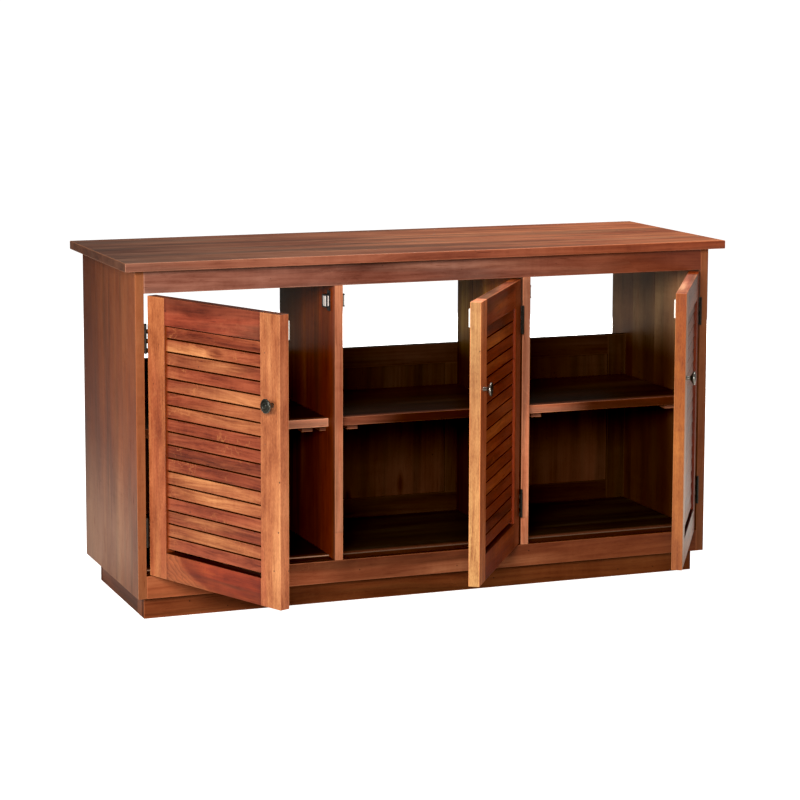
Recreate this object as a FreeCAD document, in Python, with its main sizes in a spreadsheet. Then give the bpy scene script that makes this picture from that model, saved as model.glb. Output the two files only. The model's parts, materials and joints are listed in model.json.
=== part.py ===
import FreeCAD, Part
import math
import os
import Sketcher
from FreeCAD import Placement, Rotation, Vector

# Free-standing wooden vanity unit: three compartments behind three inset
# louvred doors on butt hinges. Millimetres, +Z up, +X to the right of the
# person facing the doors, the doors on the -Y side. The origin is on the floor,
# under the middle of the carcass. The doors stand open at rest.

doc = FreeCAD.newDocument("VanityUnit")
sheet = doc.addObject("Spreadsheet::Sheet", "Sheet")

DIMENSIONS = [
    # top slab
    ("top_length", 1500), ("top_depth", 525), ("top_thick", 20),
    ("top_over_front", 30), ("top_ease", 1.5),
    # carcass
    ("carcass_width", 1440), ("carcass_depth", 490), ("carcass_foot", 53),
    ("carcass_height", 806), ("board", 20), ("rail_tall", 53), ("edge_ease", 1.0),
    ("bottom_top", 110), ("inner_setback", 43.5), ("back_setback", 408),
    # framed back
    ("back_top", 541), ("back_rail_top", 50), ("back_rail_low", 68),
    ("back_stile", 50), ("back_muntin", 84), ("back_panel", 8),
    ("groove_deep", 8), ("groove_play", 0.5),
    # shelves and what carries them
    ("shelf_top", 436), ("shelf_play", 0.5), ("cleat_wide", 15), ("cleat_tall", 13),
    ("cleat_setback", 64), ("cleat_long", 330), ("block_wide", 26),
    ("block_long", 30), ("block_inset", 33), ("block_ease", 0.8),
    # plinth
    ("plinth_setback", 28),
    # doors
    ("door_wide", 447), ("door_tall", 640), ("door_thick", 25), ("door_low", 109.5),
    ("door_gap", 3), ("stile_wide", 59), ("latch_wide", 64), ("door_rail_top", 62.5), ("door_rail_low", 61.5),
    ("door_bevel", 1.2), ("door_ease", 0.8),
    ("open_left", 66.7), ("open_middle", 55), ("open_right", 58.7),
    # louvre slats
    ("slat_face", 27), ("slat_thick", 9), ("slat_lean", 1.4), ("slat_rise", 2.7), ("slat_pitch", 30),
    ("slat_rows", 16), ("slat_drop", 27.5), ("slat_recess", 5.2), ("slat_first", 25.3), ("slat_first_rise", 1.9),
    ("slat_nose", 0.7),
    # butt hinges
    ("pin_out", 5), ("hinge_long", 65), ("hinge_high", 652), ("hinge_low", 208),
    ("leaf_thick", 1.3), ("leaf_wide", 27), ("leaf_start", 5.6), ("knuckle_rad", 3),
    ("knuckle_play", 0.3), ("pin_rad", 1.5), ("pin_play", 0.05), ("pin_cap_rad", 2.6),
    ("pin_cap", 1.8), ("hinge_screw_out", 16), ("hinge_screw_step", 22),
    # countersunk screws
    ("screw_head", 2.9), ("screw_cone", 1.25), ("screw_rad", 1.5), ("screw_long", 14),
    ("screw_short", 10), ("screw_tip", 2), ("sink_rad", 3.0), ("sink_foot", 1.7),
    ("pilot_rad", 1.6), ("pilot_long", 13.5), ("pilot_short", 8.5),
    # magnetic catches and strike plates
    ("catch_mid", 714), ("catch_setback", 29.6), ("catch_deep", 18), ("catch_out", 15),
    ("catch_tall", 48), ("catch_plate", 2.5), ("catch_body", 30), ("catch_screw_step", 19.5),
    ("pole_thick", 2.2), ("pole_tall", 24), ("pole_proud", 0.8), ("pole_deep", 15),
    ("pole_in", 4.6), ("pole_step", 7), ("magnet_back", 1), ("catch_play", 0.1),
    ("strike_wide", 14), ("strike_tall", 43), ("strike_thick", 3.2), ("strike_edge", 0.5), ("strike_slope", 1.6),
    ("strike_screw_step", 14),
    # knobs
    ("knob_rad", 16), ("knob_out", 23), ("knob_neck", 4.7), ("knob_foot", 5.6),
    ("knob_inset", 25), ("knob_height", 553), ("knob_screw_rad", 2), ("knob_bore_play", 0.1),
    ("knob_bore_long", 10), ("knob_screw_in", 8), ("knob_screw_head", 4), ("knob_screw_cap", 2.4),
]

for number, (alias, size) in enumerate(DIMENSIONS, 1):
    sheet.set("A%d" % number, alias)
    sheet.set("B%d" % number, str(size))
    sheet.setAlias("B%d" % number, alias)
doc.recompute()


class Dim:
    """A length that knows its number and the sheet expression that gives it."""

    def __init__(self, val, expr):
        self.val = float(val)
        self.expr = expr

    def __add__(self, other):
        other = as_dim(other)
        return Dim(self.val + other.val, "(%s + %s)" % (self.expr, other.expr))

    def __sub__(self, other):
        other = as_dim(other)
        return Dim(self.val - other.val, "(%s - %s)" % (self.expr, other.expr))

    def __mul__(self, number):
        return Dim(self.val * number, "(%s * %s)" % (self.expr, number))

    def __truediv__(self, number):
        return Dim(self.val / number, "(%s / %s)" % (self.expr, number))

    def __neg__(self):
        return Dim(-self.val, "(0 - %s)" % self.expr)


def as_dim(value):
    return value if isinstance(value, Dim) else Dim(value, repr(float(value)))


P = {alias: Dim(getattr(sheet, alias), "Sheet." + alias) for alias, _ in DIMENSIONS}
ZERO = as_dim(0)

# positions that several pieces share
half_inner = P["carcass_width"] / 2 - P["board"]
half_outer = P["carcass_width"] / 2
bay = (P["carcass_width"] - P["board"] * 4) / 3
front_y = -(P["carcass_depth"] / 2)
inner_y = front_y + P["inner_setback"]
back_y = front_y + P["back_setback"]
rail_low_top = P["carcass_foot"] + P["rail_tall"]
rail_high_low = P["carcass_height"] - P["rail_tall"]
bottom_low = P["bottom_top"] - P["board"]
shelf_low = P["shelf_top"] - P["board"]
pin_y = front_y - P["pin_out"]
pin_side = P["door_gap"] / 2


# ---- building blocks -------------------------------------------------------

def origin_feature(body, role):
    for feature in body.Origin.OriginFeatures:
        if feature.Role == role:
            return feature


def place(obj, at=None, hinge=None):
    """Binds a Placement: a corner in the carcass, or a door's hinge pin and angle."""
    if hinge is not None:
        x, angle, way = hinge
        obj.setExpression("Placement", "placement(vector(%s; %s; 0); rotation(vector(0; 0; %d); %s))"
                          % (x.expr, pin_y.expr, way, angle.expr))
    else:
        x, y, z = [as_dim(v) for v in at]
        obj.setExpression("Placement", "placement(vector(%s; %s; %s); rotation(vector(0; 0; 1); 0))"
                          % (x.expr, y.expr, z.expr))


def new_body(label, at=None, hinge=None):
    body = doc.addObject("PartDesign::Body", label)
    body.Label = label
    body.AllowCompound = True
    if at is not None or hinge is not None:
        place(body, at, hinge)
    return body


def new_sketch(body, role, offset, turn=None):
    sketch = body.newObject("Sketcher::SketchObject", body.Name + "_sketch")
    sketch.AttachmentSupport = [(origin_feature(body, role), "")]
    sketch.MapMode = "FlatFace"
    offset = [as_dim(v) for v in offset]
    rotation = Rotation(Vector(0, 0, -1), turn.val) if turn is not None else Rotation()
    sketch.AttachmentOffset = Placement(Vector(*[d.val for d in offset]), rotation)
    for axis, d in zip("xyz", offset):
        sketch.setExpression("AttachmentOffset.Base." + axis, d.expr)
    if turn is not None:
        sketch.setExpression("AttachmentOffset.Rotation.Angle", turn.expr)
    return sketch


def fix_point(sketch, geo, point, x, y):
    for value, axis, kind in ((x, -2, "DistanceX"), (y, -1, "DistanceY")):
        if abs(value.val) < 1e-9:
            sketch.addConstraint(Sketcher.Constraint("PointOnObject", geo, point, axis))
        else:
            index = sketch.addConstraint(Sketcher.Constraint(kind, -1, 1, geo, point, value.val))
            sketch.setExpression("Constraints[%d]" % index, value.expr)


def polygon(body, role, points, offset=(0, 0, 0), turn=None):
    """A closed outline whose corners are all given from the sketch's origin."""
    sketch = new_sketch(body, role, offset, turn)
    points = [(as_dim(x), as_dim(y)) for x, y in points]
    count = len(points)
    for i in range(count):
        a, b = points[i], points[(i + 1) % count]
        sketch.addGeometry(Part.LineSegment(Vector(a[0].val, a[1].val, 0),
                                            Vector(b[0].val, b[1].val, 0)), False)
    for i in range(count):
        sketch.addConstraint(Sketcher.Constraint("Coincident", i, 2, (i + 1) % count, 1))
    for i, (x, y) in enumerate(points):
        fix_point(sketch, i, 1, x, y)
    return sketch


def circles(body, role, centres, radius, offset=(0, 0, 0)):
    sketch = new_sketch(body, role, offset)
    for i, (x, y) in enumerate(centres):
        x, y = as_dim(x), as_dim(y)
        sketch.addGeometry(Part.Circle(Vector(x.val, y.val, 0), Vector(0, 0, 1), radius.val), False)
        index = sketch.addConstraint(Sketcher.Constraint("Radius", i, radius.val))
        sketch.setExpression("Constraints[%d]" % index, radius.expr)
        fix_point(sketch, i, 3, x, y)
    return sketch


def pad(body, sketch, length):
    feature = body.newObject("PartDesign::Pad", body.Name + "_pad")
    feature.Profile = sketch
    feature.setExpression("Length", as_dim(length).expr)
    doc.recompute()
    return feature


def revolve(body, sketch, axis):
    feature = body.newObject("PartDesign::Revolution", body.Name + "_turned")
    feature.Profile = sketch
    feature.ReferenceAxis = (sketch, [axis])
    feature.Angle = 360
    doc.recompute()
    return feature


def ease(body, radius):
    solid = body.Tip
    feature = body.newObject("PartDesign::Fillet", body.Name + "_eased")
    feature.Base = (solid, ["Edge1"])
    feature.UseAllEdges = True
    feature.setExpression("Radius", radius.expr)
    doc.recompute()
    if not 0 < feature.Shape.Volume < solid.Shape.Volume:
        raise RuntimeError("%s: edges not eased" % body.Label)
    return feature


def drill(body, role, centres, radius, depth, offset):
    """Round holes into the wood. They go the way that takes out their whole volume."""
    before = body.Shape.Volume
    sketch = circles(body, role, centres, radius, offset)
    feature = body.newObject("PartDesign::Pocket", body.Name + "_holes")
    feature.Profile = sketch
    feature.setExpression("Length", as_dim(depth).expr)
    wanted = math.pi * radius.val ** 2 * as_dim(depth).val * len(centres)
    for way in (False, True):
        feature.Reversed = way
        doc.recompute()
        taken = before - body.Shape.Volume
        if abs(taken - wanted) < 0.02 * wanted:
            return feature
    raise RuntimeError("%s: holes take out %.1f, not %.1f" % (body.Label, taken, wanted))


def board(label, at, size, radius=None, hinge=None):
    """A plain board with eased edges: corner and size, or the same within a door."""
    width, depth, height = [as_dim(v) for v in size]
    if hinge is None:
        body = new_body(label, at=at)
        offset = (0, 0, 0)
    else:
        body = new_body(label, hinge=hinge)
        offset = at
    sketch = polygon(body, "XY_Plane", [(0, 0), (width, 0), (width, depth), (0, depth)], offset)
    pad(body, sketch, height)
    ease(body, radius if radius is not None else P["edge_ease"])
    return body


def moulding(label, at, outline, length, role, radius=None):
    """A member with a worked section: its outline, run along the third axis."""
    body = new_body(label, at=at)
    sketch = polygon(body, role, outline)
    pad(body, sketch, length)
    if radius is not None:
        ease(body, radius)
    return body


nodes = []


def keep(obj):
    nodes.append(obj)
    return obj


# ---- carcass ---------------------------------------------------------------

keep(board("top_panel",
           (-(P["top_length"] / 2), front_y - P["top_over_front"], P["carcass_height"]),
           (P["top_length"], P["top_depth"], P["top_thick"]), P["top_ease"]))

side_tall = P["carcass_height"] - P["carcass_foot"]
hinge_rows = [P["hinge_low"] - P["hinge_screw_step"], P["hinge_low"], P["hinge_low"] + P["hinge_screw_step"],
              P["hinge_high"] - P["hinge_screw_step"], P["hinge_high"], P["hinge_high"] + P["hinge_screw_step"]]
hinge_hole_y = P["hinge_screw_out"] - P["pin_out"]
catch_rows = [P["catch_mid"] - P["catch_screw_step"], P["catch_mid"] + P["catch_screw_step"]]
catch_hole_y = P["catch_setback"] + P["catch_deep"] / 2

side_left = keep(board("side_panel_left", (-half_outer, front_y, P["carcass_foot"]),
                       (P["board"], P["carcass_depth"], side_tall)))
drill(side_left, "YZ_Plane", [(hinge_hole_y, z - P["carcass_foot"]) for z in hinge_rows],
      P["pilot_rad"], P["pilot_long"], (0, 0, P["board"]))

side_right = keep(board("side_panel_right", (half_inner, front_y, P["carcass_foot"]),
                        (P["board"], P["carcass_depth"], side_tall)))
drill(side_right, "YZ_Plane", [(hinge_hole_y, z - P["carcass_foot"]) for z in hinge_rows],
      P["pilot_rad"], P["pilot_long"], (0, 0, 0))

# each divider stands on the bottom rail and the bottom panel, and is notched
# under the front top rail
foot_step = P["bottom_top"] - rail_low_top
divider_tall = P["carcass_height"] - rail_low_top
divider_outline = [(0, 0), (P["inner_setback"], 0), (P["inner_setback"], foot_step),
                   (P["back_setback"], foot_step), (P["back_setback"], divider_tall),
                   (P["board"], divider_tall), (P["board"], divider_tall - P["rail_tall"]),
                   (0, divider_tall - P["rail_tall"])]
divider_left = keep(moulding("divider_left", (-(bay / 2) - P["board"], front_y, rail_low_top),
                             divider_outline, P["board"], "YZ_Plane", P["block_ease"]))
divider_right = keep(moulding("divider_right", (bay / 2, front_y, rail_low_top),
                              divider_outline, P["board"], "YZ_Plane", P["block_ease"]))
catch_holes = [(catch_hole_y, z - rail_low_top) for z in catch_rows]
drill(divider_left, "YZ_Plane", catch_holes, P["pilot_rad"], P["pilot_short"], (0, 0, 0))
drill(divider_left, "YZ_Plane", catch_holes, P["pilot_rad"], P["pilot_short"], (0, 0, P["board"]))
drill(divider_right, "YZ_Plane", catch_holes, P["pilot_rad"], P["pilot_short"], (0, 0, P["board"]))
drill(divider_right, "YZ_Plane", [(hinge_hole_y, z - rail_low_top) for z in hinge_rows],
      P["pilot_rad"], P["pilot_long"], (0, 0, 0))

rail_size = (half_inner * 2, P["board"], P["rail_tall"])
keep(board("front_top_rail", (-half_inner, front_y, rail_high_low), rail_size))
keep(board("front_bottom_rail", (-half_inner, front_y, P["carcass_foot"]), rail_size))
keep(board("rear_top_rail", (-half_inner, back_y, rail_high_low), rail_size))
keep(board("bottom_panel", (-half_inner, inner_y, bottom_low),
           (half_inner * 2, P["back_setback"] - P["inner_setback"], P["board"])))

# framed back: grooved stiles, rails and muntins around three loose panels
groove_side = (P["board"] - P["back_panel"]) / 2
groove_far = groove_side + P["back_panel"]
deep = P["groove_deep"]
back_tall = P["back_top"] - bottom_low
stile_outline = [(0, 0), (P["back_stile"], 0), (P["back_stile"], groove_side),
                 (P["back_stile"] - deep, groove_side), (P["back_stile"] - deep, groove_far),
                 (P["back_stile"], groove_far), (P["back_stile"], P["board"]), (0, P["board"])]
stile_mirror = [(0, 0), (P["back_stile"], 0), (P["back_stile"], P["board"]), (0, P["board"]),
                (0, groove_far), (deep, groove_far), (deep, groove_side), (0, groove_side)]
keep(moulding("back_stile_left", (-half_inner, back_y, bottom_low), stile_outline, back_tall, "XY_Plane"))
keep(moulding("back_stile_right", (half_inner - P["back_stile"], back_y, bottom_low),
              stile_mirror, back_tall, "XY_Plane"))
back_rail_long = (half_inner - P["back_stile"]) * 2
low = P["back_rail_low"]
keep(moulding("back_bottom_rail", (-half_inner + P["back_stile"], back_y, bottom_low),
              [(0, 0), (P["board"], 0), (P["board"], low), (groove_far, low), (groove_far, low - deep),
               (groove_side, low - deep), (groove_side, low), (0, low)], back_rail_long, "YZ_Plane"))
high = P["back_rail_top"]
keep(moulding("back_top_rail", (-half_inner + P["back_stile"], back_y, P["back_top"] - high),
              [(0, 0), (groove_side, 0), (groove_side, deep), (groove_far, deep), (groove_far, 0),
               (P["board"], 0), (P["board"], high), (0, high)], back_rail_long, "YZ_Plane"))
muntin = P["back_muntin"]
muntin_outline = [(0, 0), (muntin, 0), (muntin, groove_side), (muntin - deep, groove_side),
                  (muntin - deep, groove_far), (muntin, groove_far), (muntin, P["board"]), (0, P["board"]),
                  (0, groove_far), (deep, groove_far), (deep, groove_side), (0, groove_side)]
muntin_low = bottom_low + low
muntin_tall = P["back_top"] - high - muntin_low
divider_mid = bay / 2 + P["board"] / 2
keep(moulding("back_muntin_left", (-divider_mid - muntin / 2, back_y, muntin_low),
              muntin_outline, muntin_tall, "XY_Plane"))
keep(moulding("back_muntin_right", (divider_mid - muntin / 2, back_y, muntin_low),
              muntin_outline, muntin_tall, "XY_Plane"))
panel_reach = deep - P["groove_play"]
panel_thick = P["back_panel"] - P["groove_play"]
panel_y = back_y + groove_side + P["groove_play"] / 2
panel_low = muntin_low - panel_reach
panel_tall = muntin_tall + panel_reach * 2
end_panel_x = -half_inner + P["back_stile"]
end_panel_wide = half_inner - P["back_stile"] - divider_mid - muntin / 2
mid_panel_wide = divider_mid * 2 - muntin
keep(board("back_panel_left", (end_panel_x - panel_reach, panel_y, panel_low),
           (end_panel_wide + panel_reach * 2, panel_thick, panel_tall), P["block_ease"]))
keep(board("back_panel_middle", (-(mid_panel_wide / 2) - panel_reach, panel_y, panel_low),
           (mid_panel_wide + panel_reach * 2, panel_thick, panel_tall), P["block_ease"]))
keep(board("back_panel_right", (divider_mid + muntin / 2 - panel_reach, panel_y, panel_low),
           (end_panel_wide + panel_reach * 2, panel_thick, panel_tall), P["block_ease"]))

# shelves, with the cleats and locating blocks under their ends
bay_lows = {"left": -half_inner, "middle": -(bay / 2), "right": bay / 2 + P["board"]}
for side, low_x in bay_lows.items():
    keep(board("shelf_" + side, (low_x + P["shelf_play"], inner_y, shelf_low),
               (bay - P["shelf_play"] * 2, P["back_setback"] - P["inner_setback"], P["board"])))


def block(name, at, size):
    box = doc.addObject("Part::Box", name)
    for prop, d in zip(("Length", "Width", "Height"), size):
        box.setExpression(prop, d.expr)
    place(box, at)
    return box


cleats = []
cleat_z = shelf_low - P["cleat_tall"]
cleat_y = front_y + P["cleat_setback"]
for side, low_x in bay_lows.items():
    far_x = low_x + bay
    for name, x, wide, length in (
            ("near_cleat", low_x, P["cleat_wide"], P["cleat_long"]),
            ("far_cleat", far_x - P["cleat_wide"], P["cleat_wide"], P["cleat_long"]),
            ("near_block", low_x + P["block_inset"], P["block_wide"], P["block_long"]),
            ("far_block", far_x - P["block_inset"] - P["block_wide"], P["block_wide"], P["block_long"])):
        cleats.append(block("%s_%s" % (side, name), (x, cleat_y, cleat_z),
                            (wide, length, P["cleat_tall"])))
shelf_cleats = doc.addObject("Part::Compound", "shelf_cleats")
shelf_cleats.Label = "shelf_cleats"
shelf_cleats.Links = cleats
doc.recompute()
keep(shelf_cleats)

# plinth ring under the bottom panel, with a bearer across its middle
plinth_y = front_y + P["plinth_setback"]
keep(board("plinth_front", (-half_inner, plinth_y, 0), (half_inner * 2, P["board"], bottom_low)))
keep(board("plinth_back", (-half_inner, back_y, 0), (half_inner * 2, P["board"], bottom_low)))
bearer_long = P["back_setback"] - P["plinth_setback"] - P["board"]
bearer_y = plinth_y + P["board"]
bearer_size = (P["board"], bearer_long, bottom_low)
keep(board("plinth_side_left", (-half_inner, bearer_y, 0), bearer_size))
keep(board("plinth_side_right", (half_inner - P["board"], bearer_y, 0), bearer_size))
keep(board("plinth_center_bearer", (-(P["board"] / 2), bearer_y, 0), bearer_size))


# ---- small hardware, each made once and set where it is used ---------------

def screw(name, length):
    """Countersunk screw, its head at the origin, its point towards +X."""
    body = new_body(name)
    sketch = polygon(body, "XY_Plane", [(0, 0), (length, 0), (length - P["screw_tip"], P["screw_rad"]),
                                        (P["screw_cone"], P["screw_rad"]), (0, P["screw_head"])])
    revolve(body, sketch, "H_Axis")
    return body


long_screw = screw("long_screw", P["screw_long"])
short_screw = screw("short_screw", P["screw_short"])


def sink(body, x, y, z, length, towards):
    """Countersunk hole through a plate, along +X or -X."""
    cone = body.newObject("PartDesign::SubtractiveCone", body.Name + "_sink")
    cone.setExpression("Radius1", P["sink_rad"].expr)
    cone.setExpression("Radius2", P["sink_foot"].expr)
    cone.setExpression("Height", length.expr)
    x, y, z = [as_dim(v) for v in (x, y, z)]
    cone.setExpression("Placement", "placement(vector(%s; %s; %s); rotation(vector(0; %d; 0); 90))"
                       % (x.expr, y.expr, z.expr, towards))
    doc.recompute()


def leaf(name, frame_side):
    """Half of a butt hinge. The pin is on the Z axis, the leaf runs back along +Y,
    and the frame's half lies at -X of the pin, the door's half at +X."""
    body = new_body(name)
    pitch = P["hinge_long"] / 6
    near, wide, long = P["leaf_start"], P["leaf_wide"], P["hinge_long"]
    play = P["knuckle_play"] / 2
    first = 1 if frame_side else 0
    spans = []
    for k in (first, first + 2, first + 4):
        low_z = pitch * k + (play if k else 0)
        high_z = pitch * (k + 1) - (play if k < 5 else 0)
        spans.append((low_z, high_z))
    outline = [(wide, 0), (wide, long)]
    edge = []
    for low_z, high_z in spans:
        edge += [(near, low_z), (0, low_z), (0, high_z), (near, high_z)]
    if frame_side:
        edge = [(near, 0)] + edge[:-1]      # the last arm ends level with the leaf
    else:
        edge = edge[1:] + [(near, long)]    # the first arm starts level with the leaf
    outline += list(reversed(edge))
    x0 = -pin_side if frame_side else pin_side - P["leaf_thick"]
    sketch = polygon(body, "YZ_Plane", outline, (0, 0, x0))
    pad(body, sketch, P["leaf_thick"])
    for low_z, high_z in spans:
        knuckle = body.newObject("PartDesign::AdditiveCylinder", name + "_knuckle")
        knuckle.setExpression("Radius", P["knuckle_rad"].expr)
        knuckle.setExpression("Height", (high_z - low_z).expr)
        knuckle.setExpression("Placement.Base.z", as_dim(low_z).expr)
        doc.recompute()
    bore = body.newObject("PartDesign::SubtractiveCylinder", name + "_bore")
    bore.setExpression("Radius", (P["pin_rad"] + P["pin_play"]).expr)
    bore.setExpression("Height", long.expr)
    doc.recompute()
    for step in (-1, 0, 1):
        z = long / 2 + P["hinge_screw_step"] * step
        if frame_side:
            sink(body, x0 + P["leaf_thick"], P["hinge_screw_out"], z, P["leaf_thick"], -1)
        else:
            sink(body, x0, P["hinge_screw_out"], z, P["leaf_thick"], 1)
    return body


frame_leaf = leaf("frame_leaf", True)
door_leaf = leaf("door_leaf", False)

pin = new_body("hinge_pin")
cap, pin_long = P["pin_cap"], P["hinge_long"] + P["pin_cap"]
pin_sketch = polygon(pin, "XZ_Plane",
                     [(0, 0), (P["pin_cap_rad"], 0), (P["pin_cap_rad"], cap), (P["pin_rad"], cap),
                      (P["pin_rad"], pin_long), (P["pin_cap_rad"], pin_long),
                      (P["pin_cap_rad"], pin_long + cap), (0, pin_long + cap)],
                     (0, -cap, 0))
revolve(pin, pin_sketch, "V_Axis")

# magnetic catch: a screw plate on the divider (at x = 0) carries a housing that
# is open to the front and to the side; two pole plates and a magnet sit in it
housing = new_body("catch_housing")
half = P["catch_tall"] / 2
pad(housing, polygon(housing, "XY_Plane", [(0, 0), (P["catch_plate"], 0), (P["catch_plate"], P["catch_deep"]),
                                           (0, P["catch_deep"])], (0, 0, -half)), P["catch_tall"])
body_half = P["catch_body"] / 2
pad(housing, polygon(housing, "XY_Plane", [(0, 0), (P["catch_out"], 0), (P["catch_out"], P["catch_deep"]),
                                           (0, P["catch_deep"])], (0, 0, -body_half)), P["catch_body"])
well = housing.newObject("PartDesign::SubtractiveBox", "catch_well")
well_half = P["pole_tall"] / 2 + P["catch_play"]
well_in = P["pole_in"] - P["catch_play"]
well.setExpression("Length", (P["catch_out"] - well_in).expr)
well.setExpression("Width", (P["pole_deep"] - P["pole_proud"] + P["catch_play"]).expr)
well.setExpression("Height", (well_half * 2).expr)
well.setExpression("Placement", "placement(vector(%s; 0; %s); rotation(vector(0; 0; 1); 0))"
                   % (well_in.expr, (-well_half).expr))
doc.recompute()
for step in (-1, 1):
    sink(housing, P["catch_plate"], P["catch_deep"] / 2, P["catch_screw_step"] * step, P["catch_plate"], -1)

pole_half = P["pole_tall"] / 2


def pole_block(name, x, y, wide, deep_y):
    body = new_body(name)
    pad(body, polygon(body, "XY_Plane", [(0, 0), (wide, 0), (wide, deep_y), (0, deep_y)],
                      (x, y, -pole_half)), P["pole_tall"])
    return body


pole_near = pole_block("pole_near", P["pole_in"], -P["pole_proud"], P["pole_thick"], P["pole_deep"])
pole_far = pole_block("pole_far", P["pole_in"] + P["pole_step"], -P["pole_proud"], P["pole_thick"], P["pole_deep"])
magnet = pole_block("magnet", P["pole_in"] + P["pole_thick"], P["magnet_back"],
                    P["pole_step"] - P["pole_thick"],
                    P["pole_deep"] - P["pole_proud"] - P["magnet_back"])
doc.recompute()


def copies(label, pieces, hinge=None):
    """One node of several like pieces: (master, mirrored in x, placement) each."""
    shapes = []
    for master, mirrored, where in pieces:
        shape = master.Shape.copy()
        if mirrored:
            shape = shape.mirror(Vector(0, 0, 0), Vector(1, 0, 0))
        shapes.append(shape.transformed(where.toMatrix(), True))
    node = doc.addObject("Part::Feature", label)
    node.Label = label
    node.Shape = Part.makeCompound(shapes)
    if hinge is not None:
        place(node, hinge=hinge)
    return keep(node)


def at(x, y, z, rotation=None):
    values = [v.val if isinstance(v, Dim) else float(v) for v in (x, y, z)]
    return Placement(Vector(*values), rotation if rotation is not None else Rotation())


BACK = Rotation(Vector(0, 0, 1), 180)      # a piece that points at +X turned to point at -X
INTO = Rotation(Vector(0, 0, 1), -90)      # a piece that points at +X turned to point at -Y

# where the three pins stand: x, opening angle, way the door turns, mirrored or not
doors = {
    "left": (-half_inner + pin_side, P["open_left"], -1, False),
    "middle": (bay / 2 - pin_side, P["open_middle"], 1, True),
    "right": (half_inner - pin_side, P["open_right"], 1, True),
}
hinge_levels = [P["hinge_low"] - P["hinge_long"] / 2, P["hinge_high"] - P["hinge_long"] / 2]
copies("hinge_frame_leaves", [(frame_leaf, mirrored, at(x, pin_y, z))
                              for x, _, _, mirrored in doors.values() for z in hinge_levels])
copies("hinge_pins", [(pin, False, at(x, pin_y, z)) for x, _, _, _ in doors.values() for z in hinge_levels])

# catches: on the left divider's two faces and on the right divider's right face
catch_y = front_y + P["catch_setback"]
catch_spots = [(-(bay / 2) - P["board"], True), (-(bay / 2), False), (bay / 2 + P["board"], False)]
copies("catch_housings", [(housing, m, at(x, catch_y, P["catch_mid"])) for x, m in catch_spots])
copies("catch_pole_plates", [(plate, m, at(x, catch_y, P["catch_mid"]))
                             for x, m in catch_spots for plate in (pole_near, pole_far)])
copies("catch_magnets", [(magnet, m, at(x, catch_y, P["catch_mid"])) for x, m in catch_spots])

frame_screws = []
for x, _, _, mirrored in doors.values():
    head_x = pin_side - P["leaf_thick"]
    for z in hinge_rows:
        if mirrored:
            frame_screws.append((long_screw, False, at(x + head_x, pin_y + P["hinge_screw_out"], z)))
        else:
            frame_screws.append((long_screw, False, at(x - head_x, pin_y + P["hinge_screw_out"], z, BACK)))
for x, mirrored in catch_spots:
    for z in catch_rows:
        y = catch_y + P["catch_deep"] / 2
        if mirrored:
            frame_screws.append((short_screw, False, at(x - P["catch_plate"], y, z)))
        else:
            frame_screws.append((short_screw, False, at(x + P["catch_plate"], y, z, BACK)))
copies("carcass_screws", frame_screws)


# ---- doors -----------------------------------------------------------------
# Each door is made closed in the frame of its own pin: the pin is the Z axis,
# the front face lies pin_out behind it, and the leaf runs towards +X, or -X on
# the doors hung on the right.

front = P["pin_out"]
rear = P["pin_out"] + P["door_thick"]
door_top = P["door_low"] + P["door_tall"]
free_edge = pin_side + P["door_wide"]
light_near = pin_side + P["stile_wide"]
light_far = free_edge - P["latch_wide"]
light_wide = light_far - light_near
light_low = P["door_low"] + P["door_rail_low"]
light_top = door_top - P["door_rail_top"]


def span_x(x, width, mirrored):
    return -(x + width) if mirrored else x


def bevel(body, mirrored):
    """The bevel round the louvred opening, mitred at its corners."""
    cut = body.newObject("PartDesign::SubtractiveWedge", body.Name + "_bevel")
    size = P["door_bevel"]
    outer, inner = light_near - size, light_far + size
    spans = {"Ymin": front, "Ymax": front + size,
             "Zmin": light_low - size, "Zmax": light_top + size, "Z2min": light_low, "Z2max": light_top}
    if mirrored:
        spans.update({"Xmin": -inner, "Xmax": -outer, "X2min": -light_far, "X2max": -light_near})
    else:
        spans.update({"Xmin": outer, "Xmax": inner, "X2min": light_near, "X2max": light_far})
    # the wedge keeps each lowest corner under its highest, so all ten are bound together
    for prop, d in spans.items():
        cut.setExpression(prop, d.expr)
    before = body.Shape.Volume
    body.Tip = cut
    doc.recompute()
    if not 0 < before - body.Shape.Volume < 20000:
        raise RuntimeError("%s: bevel takes out %.1f" % (body.Label, before - body.Shape.Volume))


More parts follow.
